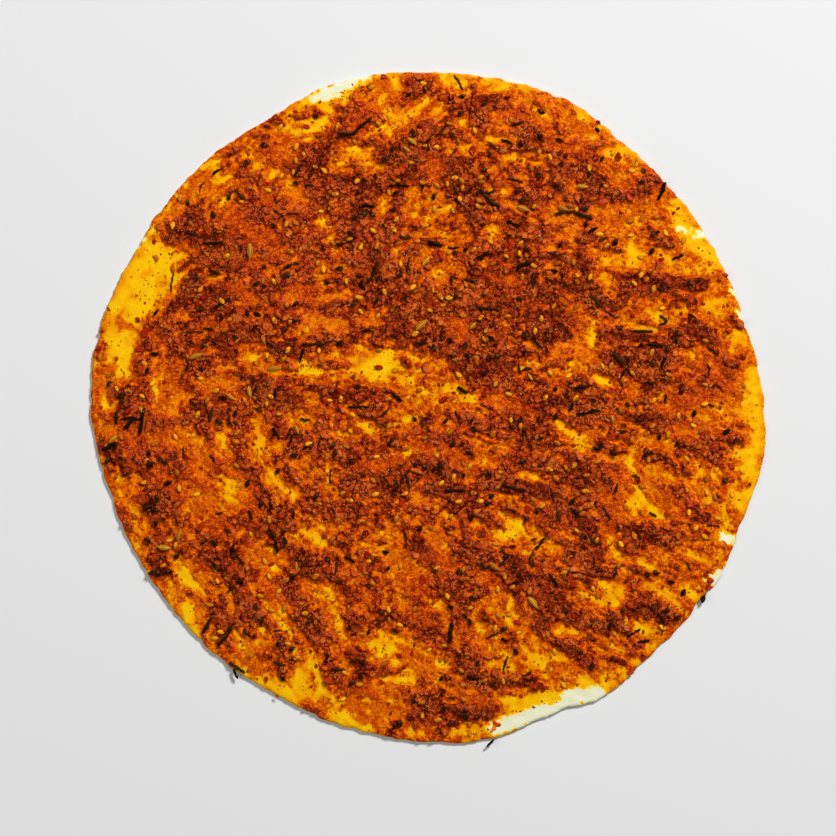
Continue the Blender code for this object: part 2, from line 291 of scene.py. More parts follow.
FILMED = (
    # left
    ((-138, 6), (-130, 16), 8), ((-103, 84), (-94, 94), 9), ((-68, -72), (-62, -80), 9),
    ((-70, 60), (-64, 58), 6), ((-78, 50), (-72, 46), 6), ((-95, 30), (-88, 34), 7),
    ((-112, -26), (-104, -34), 6), ((-109, 3), (-103, 17), 9), ((-104, -14), (-84, -24), 9),
    ((-99, -32), (-88, -45), 13), ((-128, -32), (-123, -35), 7), ((-75, -60), (-67, -62), 8),
    ((-124, -12), (-120, -16), 6), ((-80, 78), (-68, 70), 8), ((-113, 30), (-107, 25), 5),
    ((-75, -30), (-71, -45), 7), ((-96, -64), (-92, -67), 5), ((-56, 47), (-48, 46), 7),
    ((-126, -8), (-112, -14), 8), ((-66, 72), (-60, 62), 7), ((-124, 34), (-118, 30), 6),
    # top
    ((-62, 101), (-62, 103), 6), ((-67, 85), (-67, 87), 6), ((-54, 84), (-54, 86), 6),
    ((50, 127), (58, 122), 8), ((61, 75), (69, 75), 8), ((30, 96), (40, 94), 5),
    ((-20, 133), (-14, 127), 8), ((68, 80), (78, 74), 9), ((84, 80), (100, 88), 8),
    ((2, 100), (4, 86), 6), ((-29, 117), (-25, 124), 6), ((-67, 108), (-57, 103), 7),
    ((48, 115), (58, 104), 6), ((82, 94), (83, 90), 5), ((46, 80), (54, 78), 6),
    ((58, 119), (64, 114), 8), ((34, 121), (40, 126), 5),
    # middle
    ((-46, 35), (-37, 34), 8), ((11, -19), (16, -26), 7), ((-25, 36), (-25, 38), 7),
    ((30, 4), (40, -2), 6), ((-5, -13), (0, -18), 6), ((-28, -24), (-16, -22), 7),
    ((8, 36), (14, 32), 6), ((26, 53), (34, 52), 6),
    # right
    ((100, 0), (118, 4), 10), ((100, -10), (118, -8), 7), ((104, 14), (108, 12), 7),
    ((70, -34), (78, -44), 7), ((92, -36), (106, -44), 7), ((54, 24), (64, 24), 7),
    ((56, 44), (64, 36), 6), ((76, -28), (79, -33), 6), ((50, 11), (54, 9), 5),
    ((113, 20), (126, 8), 8), ((124, -24), (129, -32), 6),
    # bottom
    ((-14, -63), (-3, -73), 10), ((-30, -66), (-26, -80), 6), ((-8, -84), (-2, -86), 6),
    ((-78, -101), (-70, -107), 8), ((-10, -99), (0, -105), 7), ((-26, -113), (-14, -118), 6),
    ((-32, -120), (-14, -124), 8), ((2, -52), (7, -66), 6), ((22, -66), (28, -77), 6),
    ((28, -80), (38, -90), 6), ((13, -94), (24, -95), 8), ((16, -117), (20, -120), 5),
    ((-26, -126), (-20, -128), 6), ((-34, -62), (-32, -70), 5),
    # lower right
    ((50, -108), (58, -106), 6),
)  # fmt: skip
DOLLOPS = (
    # left
    ((-105, 70), (-98, 76), 9), ((-115, 27), (-110, 33), 8), ((-80, 62), (-70, 66), 9),
    ((-136, 24), (-135, 22), 3), ((-72, -56), (-64, -55), 5), ((-97, -76), (-92, -79), 4),
    ((-100, 56), (-98, 58), 3), ((-86, 75), (-82, 75), 5), ((-85, 88), (-80, 88), 4),
    ((-93, 85), (-89, 84), 4), ((-90, -32), (-87, -34), 4), ((-57, -37), (-56, -47), 4),
    # top
    ((-82, 103), (-74, 108), 6), ((-70, 111), (-62, 118), 7), ((-36, 114), (-27, 124), 9),
    ((-11, 126), (-3, 135), 7), ((-18, 103), (-5, 111), 10), ((88, 86), (96, 95), 9),
    ((92, 71), (98, 68), 5), ((4, 76), (12, 75), 5), ((6, 57), (12, 54), 5),
    ((-38, 103), (-32, 102), 5), ((70, 66), (78, 66), 5), ((38, 104), (46, 101), 5),
    ((20, 127), (36, 124), 4), ((-54, 118), (-46, 121), 3), ((90, 78), (96, 78), 4),
    ((-6, 86), (-1, 86), 4), ((-4, 74), (0, 72), 4), ((79, 80), (82, 78), 5),
    ((-26, 108), (-18, 111), 4), ((4, 101), (12, 104), 4), ((46, 70), (50, 62), 4),
    # middle
    ((-20, 29), (-8, 33), 7), ((-12, 26), (-9, 18), 5), ((-26, -51), (-20, -49), 4),
    ((-44, -6), (-34, -8), 6), ((-24, -3), (-16, -6), 5), ((-10, 5), (-6, 3), 4),
    ((22, -46), (29, -47), 4), ((3, -43), (8, -40), 4), ((40, -45), (44, -50), 4),
    ((20, 0), (32, -2), 4), ((21, -12), (24, -14), 3), ((22, -50), (30, -46), 4),
    ((32, -38), (36, -40), 5), ((18, 45), (21, 44), 3), ((-45, 55), (-42, 53), 3),
    ((-40, 4), (-28, 8), 8),
    # right
    ((94, 51), (112, 49), 4), ((121, 12), (128, 20), 7), ((123, 38), (127, 34), 3),
    ((108, 36), (118, 28), 8), ((121, -11), (129, -9), 4), ((121, -22), (124, -30), 5),
    ((79, 41), (87, 36), 6), ((59, 42), (63, 35), 5), ((42, 14), (56, 20), 6),
    ((99, 43), (108, 44), 5), ((102, -23), (106, -26), 5), ((80, -7), (84, -10), 6),
    ((100, 3), (106, 1), 5), ((117, 36), (122, 32), 5), ((119, -17), (126, -12), 7),
    ((104, 1), (110, 0), 4), ((119, 0), (123, -1), 4), ((62, 33), (64, 26), 4),
    ((70, 26), (73, 32), 4),
    # bottom
    ((-47, -123), (-43, -125), 4), ((22, -84), (30, -90), 5), ((-2, -84), (8, -88), 6),
    ((36, -72), (30, -82), 5), ((-21, -80), (-8, -88), 6), ((-28, -53), (-14, -57), 4),
    ((34, -57), (39, -57), 5), ((20, -127), (28, -124), 5), ((-57, -102), (-54, -103), 4),
    ((5, -116), (10, -117), 5), ((34, -80), (36, -84), 3), ((-66, -106), (-60, -108), 5),
    ((-16, -72), (-14, -84), 3), ((-35, -64), (-33, -68), 4), ((-50, -70), (-42, -72), 4),
    # lower right
    ((52, -74), (84, -99), 5), ((50, -79), (62, -87), 6), ((88, -80), (97, -86), 5),
    ((66, -54), (70, -62), 5), ((50, -97), (66, -95), 6), ((40, -114), (54, -113), 4),
    ((69, -62), (76, -68), 5), ((60, -69), (67, -72), 6), ((78, -70), (84, -72), 5),
    ((108, -52), (114, -51), 4), ((47, -50), (53, -56), 4), ((66, -98), (71, -98), 4),
)  # fmt: skip
SWIPE_REACH = 12.0  # no swipe is felt from further off than this


def from_swipes(swipes):
    """Millimetres outside the nearest swipe, below zero inside it."""
    nearest = np.full(X.shape, SWIPE_REACH)
    for (x0, y0), (x1, y1), width in swipes:
        margin = SWIPE_REACH + width
        low = np.searchsorted(AXIS, (min(x0, x1) - margin, min(y0, y1) - margin))
        high = np.searchsorted(AXIS, (max(x0, x1) + margin, max(y0, y1) + margin))
        part = (slice(low[1], high[1]), slice(low[0], high[0]))
        x, y = X[part] - x0, Y[part] - y0
        along_x, along_y = x1 - x0, y1 - y0
        share = np.clip((x * along_x + y * along_y) / (along_x**2 + along_y**2), 0, 1)
        away = np.hypot(x - share * along_x, y - share * along_y) - width / 2
        nearest[part] = np.minimum(nearest[part], away)
    return nearest


RAGGED = 1.0 * RIDGES + 0.9 * grain(2.4, 31) + 0.45 * FINE_RIDGES
DOLLOPED = -from_swipes(DOLLOPS)
COVER = np.maximum(np.minimum(EDGE, from_swipes(SCRAPED)), DOLLOPED) + RAGGED
FILM = smooth(-2.5, 1.5, -from_swipes(FILMED) + RAGGED)
print(len(SCRAPED), "scraped places,", len(FILMED), "filmed,", len(DOLLOPS), "dolloped")

# %% [markdown]
# ## Mashed lumps
#
# Seen close, the paste is mashed pepper: rounded lumps a few millimetres across that meet in
# sharp valleys, like scrambled egg. Even noise swings above and below zero. Folded over at
# zero it becomes just that, a bump wherever it was far from zero and a crease along every line
# where it crossed. Two sizes are added, the larger one dragged a little along the strokes. The
# valleys are kept too, so the paste can be given painted shade there.

# %% Lumps
LUMPS = 0.6 * np.abs(even(dragged(grain(3.6, 35), 1.2))) + 0.35 * np.abs(grain(2.0, 36))
# the valleys between lumps, where the paste gets painted shade
VALLEY_SHADE = smooth(0.42, 0.06, LUMPS)
print("valleys over", round(float(VALLEY_SHADE.mean()), 2), "of the map")

# %% [markdown]
# ## Thickness of the paste
#
# From its edge the paste swells to a body a millimetre or so thick, with the spoon's ridges on
# it and the lumps standing out. A film is the same thing with hardly any body. Dollops stand
# higher. Between them the spoon ploughed folds, given as swipes again: they lie a little lower
# and are darker, partly from oil gathered there and partly as painted shade, as are the hollows
# between the ridges. The map keeps the thickness, and from it come the surface, the number of
# crumbs and the staining.

# %% Thickness
FOLDS = (
    # left
    ((-107, 71), (-84, 68), 3.5), ((-98, 58), (-92, 46), 4), ((-112, 38), (-95, 44), 2.5),
    ((-95, 42), (-82, 37), 2), ((-90, 47), (-62, 48), 2), ((-78, 32), (-70, 30), 3),
    ((-66, 26), (-38, 25), 3), ((-100, 25), (-84, 28), 2), ((-80, 12), (-66, 12), 3.5),
    ((-72, 9), (-66, 2), 3), ((-60, 8), (-52, 2), 3), ((-96, 0), (-86, -4), 3),
    ((-62, -10), (-50, -14), 2.5), ((-126, 4), (-121, -8), 3), ((-132, -16), (-131, -26), 4),
    ((-128, -24), (-114, -27), 2.5), ((-116, -41), (-102, -38), 3), ((-113, -67), (-109, -67), 5),
    ((-74, -46), (-58, -58), 3), ((-87, -62), (-80, -60), 3), ((-80, -72), (-78, -78), 3),
    ((-88, -98), (-80, -88), 3),
    # top
    ((6, 104), (20, 98), 4), ((-2, 104), (-14, 87), 2.5), ((12, 120), (4, 112), 3),
    ((18, 127), (38, 122), 2.5), ((-18, 105), (-18, 102), 3), ((-36, 112), (-26, 116), 2.5),
    ((-38, 95), (-24, 90), 3), ((-28, 82), (-32, 70), 4), ((-24, 66), (-20, 48), 4),
    ((34, 88), (42, 83), 3.5), ((61, 79), (70, 94), 4), ((62, 71), (74, 70), 3),
    ((38, 60), (40, 55), 5), ((50, 92), (58, 86), 2.5), ((12, 84), (20, 76), 2),
    ((14, 90), (20, 88), 2),
    # middle
    ((-14, 37), (-11, 27), 6), ((-30, 31), (-16, 34), 2.5), ((-46, 42), (-38, 42), 2.5),
    ((-46, 5), (-12, 2), 3), ((-48, -4), (-34, -5), 2), ((-30, -4), (-14, -1), 1.6),
    ((18, 42), (34, 42), 2.5), ((10, 27), (16, 20), 3), ((21, 16), (28, 21), 3),
    ((32, 16), (44, 14), 4), ((36, -3), (40, -14), 4), ((-32, -22), (-28, -30), 3),
    ((-22, -30), (-10, -36), 4), ((-4, -28), (4, -25), 3), ((-2, -34), (14, -33), 3),
    ((10, -15), (18, -20), 2), ((28, -34), (38, -33), 4),
    # right
    ((44, 52), (52, 43), 4.5), ((54, 50), (62, 48), 4.5), ((62, 60), (72, 42), 3.5),
    ((80, 54), (90, 48), 3), ((90, 50), (111, 50), 6.5), ((40, 38), (60, 38), 2.5),
    ((42, 29), (58, 28), 3), ((40, 0), (60, 2), 3.5), ((40, -32), (52, -36), 4),
    ((60, -22), (64, -36), 4.5), ((88, -21), (96, -22), 3.5), ((94, -12), (111, -18), 3),
    ((84, -3), (92, -8), 3.5), ((78, 31), (97, 22), 6), ((80, 20), (88, 8), 3),
    ((96, 8), (104, -2), 3), ((108, 34), (118, 30), 5),
    # bottom
    ((-52, -61), (-49, -70), 5), ((-46, -68), (-30, -77), 3.5), ((-52, -84), (-46, -92), 2.5),
    ((-34, -88), (-26, -92), 3), ((-28, -104), (-27, -110), 4), ((34, -64), (44, -71), 3),
    ((20, -60), (26, -66), 3), ((24, -67), (40, -80), 2), ((-6, -56), (4, -59), 4.5),
    ((-18, -84), (2, -90), 2.5), ((8, -88), (8, -98), 5), ((9, -98), (16, -108), 3),
    ((16, -110), (24, -110), 3), ((28, -88), (32, -98), 3), ((28, -114), (52, -112), 3),
    ((6, -122), (12, -127), 4), ((14, -127), (24, -125), 4.5), ((-20, -133), (-8, -128), 2.5),
    # lower right
    ((58, -42), (70, -52), 5.5), ((70, -52), (68, -69), 5.5), ((44, -71), (60, -86), 4),
    ((60, -86), (68, -95), 4), ((46, -84), (50, -96), 3), ((52, -98), (66, -105), 3),
    ((72, -88), (92, -82), 3.5), ((92, -78), (96, -88), 4), ((74, -104), (84, -105), 3),
    ((83, -98), (90, -100), 4), ((82, -50), (94, -57), 4), ((96, -38), (115, -46), 4),
)  # fmt: skip
BODY = smooth(-0.3, 3.4, COVER)
DOLLOP = smooth(-3.0, 3.0, DOLLOPED + 0.8 * RAGGED)
FOLD = smooth(-1.6, 1.2, -from_swipes(FOLDS) + 0.7 * RAGGED)
PATCHY = 0.25 * smooth(20, 110, X - Y) + 0.45 * grain(13, 45)
PATCHY = PATCHY + 0.45 * even(dragged(grain(5, 46), 6))
PATCHY = PATCHY + 0.5 * grain(3.2, 47) + 0.3 * grain(1.8, 48)
AMOUNT = BODY * smooth(-1.9, 0.6, PATCHY + 1.5 * DOLLOP + FOLD) * (1 - 0.66 * FILM)
WAVES = 0.35 * grain(9, 41) + 0.45 * BROAD_RIDGES + 0.5 * RIDGES
THICK = 0.14 * smooth(-0.4, 0.4, COVER)
THICK = THICK + AMOUNT * (0.6 + 0.36 * WAVES + 0.5 * LUMPS + 0.7 * DOLLOP - 0.6 * FOLD)
THICK = np.maximum(THICK, 0.1 * smooth(-0.4, 0.4, COVER))
THICK = THICK * smooth(0.2, 2.2, INSIDE + 0.5 * grain(4, 43))
# the hollows between the ridges, which get painted shade below
SHADE = -(0.6 * RIDGES + 0.6 * BROAD_RIDGES + 0.5 * grain(2.2, 44))
# darkening of folds and ridge hollows: partly oil gathered there, partly painted shade
FOLD_OIL_AND_SHADE = FOLD * (0.5 + 0.5 * smooth(-0.7, 0.7, grain(3.5, 49)))
HOLLOW_OIL_AND_SHADE = smooth(0.1, 0.6, AMOUNT) * np.maximum(0.8 * smooth(0.9, 2.6, SHADE), FOLD_OIL_AND_SHADE)
print("paste up to", round(float(THICK.max()), 2), "mm thick")

# %% [markdown]
# ## Stain
#
# Pepper oil creeps out of the paste into the dough. Beside the paste the dough is a deep orange,
# one or two millimetres off it goes amber and then yellow, and only a few lips of dough at the
# rim stayed dry and cream. So the stain falls in steps with the distance from the paste, and
# rises with how thick the paste beside it is. Oil also ran into blotches, along the strokes and
# out to the rim. One number from 0, dry, to 1, soaked, says all of this.

# %% Stain
DRY = (
    ((-46, 127.5), (-25, 136), 4.0), ((-121, 64), (-113, 73), 0.8), ((127, 39), (129, 36), 2.2),
    ((123.5, 50), (125, 47), 2.0), ((103, 74), (112, 71), 2.6), ((47, -127), (60, -122), 9.0),
    ((58, -119), (70, -118), 7.0), ((28, -131), (47, -126), 6.5), ((117, -71), (122, -66), 5.0),
    ((121, -53.5), (124, -54), 3.5),
)  # fmt: skip
OFF = np.maximum(-COVER, 0)
STAIN = 0.84 + 0.35 * blurred(AMOUNT, 1.5) - 0.27 * smooth(0, 1.2, OFF)
STAIN = STAIN - 0.21 * smooth(0.7, 2.5, OFF) - 0.11 * smooth(2.5, 6, OFF)
STAIN = STAIN + 0.09 * dragged(grain(2.5, 51), 4) + 0.05 * grain(9, 52)
STAIN = STAIN + 0.08 * smooth(20, 130, X) + 0.2 * smooth(0.3, 1.6, grain(6, 54))
STAIN = STAIN + 0.17 * smooth(3.0, 0.4, INSIDE + 0.9 * grain(5, 55))
STAIN = np.clip(np.maximum(STAIN, 0.8 * FILM), 0.3, 1)
DRYNESS = smooth(-0.7, 0.6, -from_swipes(DRY) + 0.7 * grain(2.0, 53) + 0.4 * FINE_RIDGES)
STAIN = STAIN * (1 - DRYNESS) + 0.03 * DRYNESS
print("dry share", round(float(DRYNESS[INSIDE > 0].mean()), 3))

# %% [markdown]
# ## Sheets of fine triangles
#
# Both big pieces are the same kind of thing: a flat sheet of equal triangles, cut along a line on
# the map, raised to a height, and closed with a skirt and a floor. A grid of triangles has no
# pole and no stretched rows, so detail is as fine at the rim as in the middle. The cut is made by
# standing the sheet on the field's values and slicing it at zero.


# %% Cut sheets
SPARE = 2  # how much of the map is left outside every sheet
ON_CUT = 0.001  # points this near the cut count as on it
SLIVER = 0.2  # points nearer than this share of a cell are merged after a cut
CREASED = 65  # degrees between faces that make an edge sharp


def cut_sheet(field, cell):
    """A flat mesh of triangles, in millimetres, that covers where the field is above zero."""
    row = cell * math.sqrt(3) / 2
    half = math.ceil((REACH - SPARE) / row)
    sheet = bmesh.new()
    bmesh.ops.create_grid(sheet, x_segments=2 * half, y_segments=2 * half, size=half)
    places = np.array([vertex.co for vertex in sheet.verts])
    line = np.rint(places[:, 1])
    x = places[:, 0] * cell + (line % 2) * cell / 2
    y = line * row
    values = at(field, x, y)
    for vertex, place in zip(sheet.verts, zip(x, y, values)):
        vertex.co = place
    lost = [face for face in sheet.faces if all(vertex.co.z < 0 for vertex in face.verts)]
    bmesh.ops.delete(sheet, geom=lost, context="FACES")
    bmesh.ops.triangulate(sheet, faces=sheet.faces[:], quad_method="SHORT_EDGE")
    bmesh.ops.bisect_plane(
        sheet,
        geom=sheet.verts[:] + sheet.edges[:] + sheet.faces[:],
        dist=ON_CUT,
        plane_co=(0, 0, 0),
        plane_no=(0, 0, 1),
        clear_inner=True,
    )
    for vertex in sheet.verts:
        vertex.co.z = 0
    bmesh.ops.remove_doubles(sheet, verts=sheet.verts[:], dist=cell * SLIVER)
    return sheet


def raise_sheet(sheet, height):
    """Lifts every point of a flat sheet to a field's height."""
    places = np.array([vertex.co for vertex in sheet.verts])
    for vertex, z in zip(sheet.verts, at(height, places[:, 0], places[:, 1])):
        vertex.co.z = z


def add_skirt(sheet, steps):
    """Hangs rings of faces from the sheet's open edge; each step moves the edge to a new place."""
    edges = [edge for edge in sheet.edges if edge.is_boundary]
    for place in steps:
        grown = bmesh.ops.extrude_edge_only(sheet, edges=edges)["geom"]
        for vertex in (item for item in grown if isinstance(item, bmesh.types.BMVert)):
            vertex.co = place(vertex.co)
        edges = [item for item in grown if isinstance(item, bmesh.types.BMEdge)]
        edges = [edge for edge in edges if edge.is_boundary]
    return edges


def in_order(sheet):
    """The places and triangles of a sheet, in an order that depends on the places alone.

    Bits are scattered triangle by triangle, so this order decides where they fall. It runs row
    by row through the triangles that point up the sheet, and then through the others.
    """
    sheet.verts.index_update()
    places = np.array([vertex.co for vertex in sheet.verts], np.float32)
    corners = np.array([[vertex.index for vertex in face.verts] for face in sheet.faces])
    order = np.lexsort(places[:, (2, 0, 1)].T)
    places, corners = places[order], np.argsort(order)[corners]
    first = corners.argmin(axis=1)[:, None]
    corners = np.take_along_axis(corners, (first + np.arange(3)) % 3, axis=1)
    rows = places[corners, 1]
    others = rows[:, 1:].min(axis=1) > rows[:, 0]
    return places, corners[np.lexsort((*corners.T[::-1], others))]


def finish_piece(name, sheet, fields=()):
    """Turns a bmesh in millimetres into an object in metres that carries these fields.

    A skirt that drops straight down keeps a crisp edge, or its shading would darken the sheet's.
    """
    bmesh.ops.triangulate(sheet, faces=sheet.faces[:])
    bmesh.ops.recalc_face_normals(sheet, faces=sheet.faces[:])
    loose = sum(not edge.is_manifold for edge in sheet.edges)
    places, corners = in_order(sheet)
    sheet.free()
    mesh = bpy.data.meshes.new(name)
    mesh.from_pydata((places * MM).tolist(), [], corners.tolist())
    for label, field in fields:
        values = at(field, places[:, 0], places[:, 1]).astype(np.float32)
        mesh.attributes.new(label, "FLOAT", "POINT").data.foreach_set("value", values)
    mesh.shade_smooth()
    mesh.set_sharp_from_angle(angle=math.radians(CREASED))
    piece = bpy.data.objects.new(name, mesh)
    bpy.context.scene.collection.objects.link(piece)
    print(name, len(mesh.polygons), "triangles,", loose, "open edges")
    return piece


# %% [markdown]
# ## The dough
#
# Hand-rolled dough is smooth but never flat: it has shallow dimples, and faint grooves where the
# spoon scraped it. Its rim wobbles a little and rolls over to the underside. The skirt follows
# that nose down in small steps and in again under the bread.

# %% Build the dough
DOUGH_CELL = 0.95
# the rim's section, from its top to the underside: how far in, and at what share of the height
NOSE = ((0.55, 0.93), (0.18, 0.75), (0.0, 0.5), (0.15, 0.22), (0.5, 0.06), (1.2, 0.0))
DENTS = 0.05 * grain(6, 61) + 0.04 * RIDGES + 0.02 * FINE_RIDGES
DOUGH_SKIN = DOUGH_TOP + DENTS * smooth(0, 3, INSIDE)
WOBBLE = 0.25 * grain(7, 62) + 0.14 * grain(2.5, 63)


def outline_place(inset, share):
    """Moves a point to that far in from the outline, at that share of the rim's height."""

    def place(point):
        bearing = Vector((point.x, point.y)).normalized()
        edge = bearing * float(rim(point.x, point.y))
        radius = edge.length + float(at(WOBBLE, edge.x, edge.y)) - inset
        height = float(at(DOUGH_TOP, edge.x, edge.y)) * share
        return Vector((bearing.x * radius, bearing.y * radius, height))

    return place


sheet = cut_sheet(INSIDE + WOBBLE - RIM_ROUND, DOUGH_CELL)
raise_sheet(sheet, DOUGH_SKIN)
bottom = add_skirt(sheet, [outline_place(inset, share) for inset, share in NOSE])
bmesh.ops.triangle_fill(sheet, edges=bottom, use_beauty=True)
SHOWING = smooth(0.3, -0.5, COVER) * smooth(0.5, 2.5, INSIDE) * (1 - DRYNESS)
DOTTED = smooth(-0.5, 1.2, grain(6, 64) + 0.3 * RIDGES)
DOUGH_FIELDS = [
    ("stain", STAIN),
    ("specks", SHOWING * (0.25 + 0.75 * smooth(-5, -0.3, COVER)) * (0.3 + 0.7 * DOTTED)),
    ("strays", SHOWING * (0.03 + 0.45 * smooth(-3.5, -0.3, COVER)) * (0.4 + 0.6 * DOTTED)),
    ("amount", 0.45 * SHOWING),
]
dough = finish_piece("dough_round", sheet, DOUGH_FIELDS)

# %% [markdown]
# ## The spread
#
# The paste clings to the dough, so its sheet follows the dough's skin and adds the thickness from
# the map. At its edge it is a tenth of a millimetre thick and dips just under the skin, where the
# real one soaks in. Its floor lies inside the dough and never shows.

# %% Build the spread
SPREAD_CELL = 0.65
SPREAD_FLOOR = 0.7
DIP = 0.04  # how far the paste's thin edge lies under the dough's skin
BARE_RIM = 0.9  # the least dough that shows outside the paste
SMALLEST_ISLAND = 14  # triangles


def drop_islands(sheet):
    """Removes pinched points, where two edges touch, and scraps too small to matter."""
    pinched = [v for v in sheet.verts if sum(edge.is_boundary for edge in v.link_edges) > 2]
    bmesh.ops.delete(sheet, geom=pinched, context="VERTS")
    left = set(sheet.faces)
    scraps = []
    while left:
        island = [left.pop()]
        for face in island:
            near = {other for edge in face.edges for other in edge.link_faces}
            island.extend(near & left)
            left -= near
        if len(island) < SMALLEST_ISLAND:
            scraps += island
    bmesh.ops.delete(sheet, geom=scraps, context="FACES")
    wires = [edge for edge in sheet.edges if edge.is_wire]
    bmesh.ops.delete(sheet, geom=wires, context="EDGES")
    stray = [vertex for vertex in sheet.verts if not vertex.link_faces]
    bmesh.ops.delete(sheet, geom=stray, context="VERTS")


def sink(point):
    return Vector((point.x, point.y, SPREAD_FLOOR))


SPREAD_TOP = DOUGH_SKIN + THICK - DIP
TONE = 0.5 + 0.12 * grain(14, 71) + 0.08 * RIDGES + 0.12 * grain(3.5, 73)
CLUSTERED = 0.2 + 0.8 * smooth(-0.8, 0.7, grain(7, 72) + 0.4 * RIDGES)
sheet = cut_sheet(np.minimum(COVER, INSIDE - BARE_RIM), SPREAD_CELL)
drop_islands(sheet)
raise_sheet(sheet, SPREAD_TOP)
bottom = add_skirt(sheet, [sink])
bmesh.ops.triangle_fill(sheet, edges=bottom, use_beauty=False)
PASTE_FIELDS = [
    ("amount", AMOUNT), ("hollow", HOLLOW_OIL_AND_SHADE), ("valley", VALLEY_SHADE), ("shade", TONE),
    ("flakes", (0.08 + 0.92 * smooth(0.15, 0.65, AMOUNT)) * CLUSTERED * (1 - 0.8 * FOLD)),
    ("crumbs", (0.16 + 0.56 * smooth(0.1, 0.5, AMOUNT) * CLUSTERED) * (1 - 0.7 * FOLD)),
]  # fmt: skip
paste = finish_piece("pepper_paste", sheet, PASTE_FIELDS)

# %% [markdown]
# ## Shader sums in plain Python
#
# A material is easier to read as a formula than as a web of nodes. This small class holds one
# output of a node. Adding or multiplying two of them makes the Math node that does the sum, so
# `1 - mask * 0.3` can be written as it stands. Colours take the Mix node instead, because a Math
# node would turn them grey.


# %% A socket that does sums
class Value:
    """One output of a node, ready for sums."""

    def __init__(self, shader, socket):
        self.shader = shader
        self.socket = socket

    def _sum(self, operation, *others):
        return self.shader.node("ShaderNodeMath", {"operation": operation}, *others)

    def __add__(self, other):
        return self._sum("ADD", self, other)

    def __sub__(self, other):
        return self._sum("SUBTRACT", self, other)

    def __rsub__(self, other):
        return self._sum("SUBTRACT", other, self)

    def __mul__(self, other):
        return self._sum("MULTIPLY", self, other)

    __radd__ = __add__
    __rmul__ = __mul__

    def folded(self):
        """Turns what is below zero up, so that a swing becomes lumps with sharp valleys."""
        return self._sum("ABSOLUTE", self)

    def between(self, low, high):
        """0 below low, 1 above high, smooth between."""
        ranged = {"interpolation_type": "SMOOTHSTEP"}
        return self.shader.node(
            "ShaderNodeMapRange", ranged, Value=self, From_Min=low, From_Max=high
        )


def feed(tree, socket, value):
    """Links an output to a socket, or sets the socket to a plain value."""
    if isinstance(value, Value):
        value = value.socket
    if isinstance(value, bpy.types.NodeSocket):
        tree.links.new(value, socket)
    else:
        socket.default_value = value


def new_node(tree, kind, settings, values, named):
    """Adds any node: its settings first, then its sockets in order or by name."""
    node = tree.nodes.new(kind)
    for key, value in (settings or {}).items():
        setattr(node, key, value)
    for socket, value in zip(node.inputs, values):
        feed(tree, socket, value)
    for key, value in named.items():
        wanted = key.replace("_", " ")
        feed(tree, next(s for s in node.inputs if s.name == wanted and s.enabled), value)
    return node


class Shader:
    """One material, written as sums of Values."""

    def __init__(self, name):
        self.material = bpy.data.materials.new(name)
        self.material.use_nodes = True
        self.tree = self.material.node_tree
        self.surface = self.tree.nodes["Principled BSDF"]
        self.place = self.node("ShaderNodeTexCoord", output="Object")

    def node(self, kind, settings=None, *values, output=None, **named):
        """The output of that name, or else the first, of any new node."""
        node = new_node(self.tree, kind, settings, values, named)
        shown = [s for s in node.outputs if s.enabled]
        return Value(self, next((s for s in shown if s.name == output), shown[0]))

    def attribute(self, name):
        return self.node("ShaderNodeAttribute", {"attribute_name": name}, output="Fac")

    def noise(self, size, detail=2.0, place=None):
        """Noise from 0 to 1 with features about that many millimetres across."""
        return self.node(
            "ShaderNodeTexNoise",
            Vector=place or self.place,
            Scale=1 / (size * MM),
            Detail=detail,
        )

    def blend(self, share, a, b):
        """Number a where share is 0, number b where it is 1."""
        return self.node("ShaderNodeMix", {"data_type": "FLOAT"}, Factor=share, A=a, B=b)

    def mix(self, share, a, b):
        """Colour a where share is 0, colour b where it is 1."""
        return self.node("ShaderNodeMix", {"data_type": "RGBA"}, Factor=share, A=a, B=b)

    def ramp(self, value, *stops):
        """A colour for each value, from stops of (value, colour)."""
        node = self.tree.nodes.new("ShaderNodeValToRGB")
        elements = node.color_ramp.elements
        while len(elements) < len(stops):
            elements.new(0.5)
        for element, (position, colour) in zip(elements, stops):
            element.position = position
            element.color = colour
        feed(self.tree, node.inputs[0], value)
        return Value(self, node.outputs[0])

    def bump(self, height, depth, strength=1.0):
        """A normal that rises and falls with height, over a depth in millimetres."""
        distance = depth * MM
        return self.node("ShaderNodeBump", Height=height, Distance=distance, Strength=strength)

    def swirled(self, scale, reach):
        """The place, pushed about by up to that many millimetres, so that noise there curls."""
        swirl = self.node(
            "ShaderNodeTexNoise", Vector=self.place, Scale=scale, Detail=1, output="Color"
        )
        push = (reach * MM, reach * MM, 0)
        added = {"operation": "MULTIPLY_ADD"}
        return self.node("ShaderNodeVectorMath", added, swirl, push, self.place)

    def finish(self, **sockets):
        """Sets the surface's sockets and gives the material."""
        for key, value in sockets.items():
            feed(self.tree, self.surface.inputs[key.replace("_", " ")], value)
        return self.material


def rgb(red, green, blue):
    """A colour given as on a screen, 0 to 255, in the linear values that shaders use."""
    shares = [c / 255 for c in (red, green, blue)]
    linear = [c / 12.92 if c <= 0.04045 else ((c + 0.055) / 1.055) ** 2.4 for c in shares]
    return (*linear, 1.0)


# %% [markdown]
# ## Dough, from dry to soaked
#
# The stain on the map picks the colour: cream, then yellow, amber, orange and a deep rust. Fine
# noise frays every border between them, as oil follows the grain of the dough. Tiny dark flecks
# of pepper sit in the oil. Where there is oil the surface is glossier. It never reached the
# underside, so the stain fades out low down on the rim.


# %% Dough material
OIL = rgb(255, 205, 130)  # the tint of every wet highlight


def oily(s, colour, roughness, gloss, **normal):
    """Ends a material whose highlights take the tint of the oil."""
    return s.finish(
        Base_Color=colour,
        Roughness=roughness,
        Specular_IOR_Level=gloss,
        Specular_Tint=OIL,
        **normal,
    )


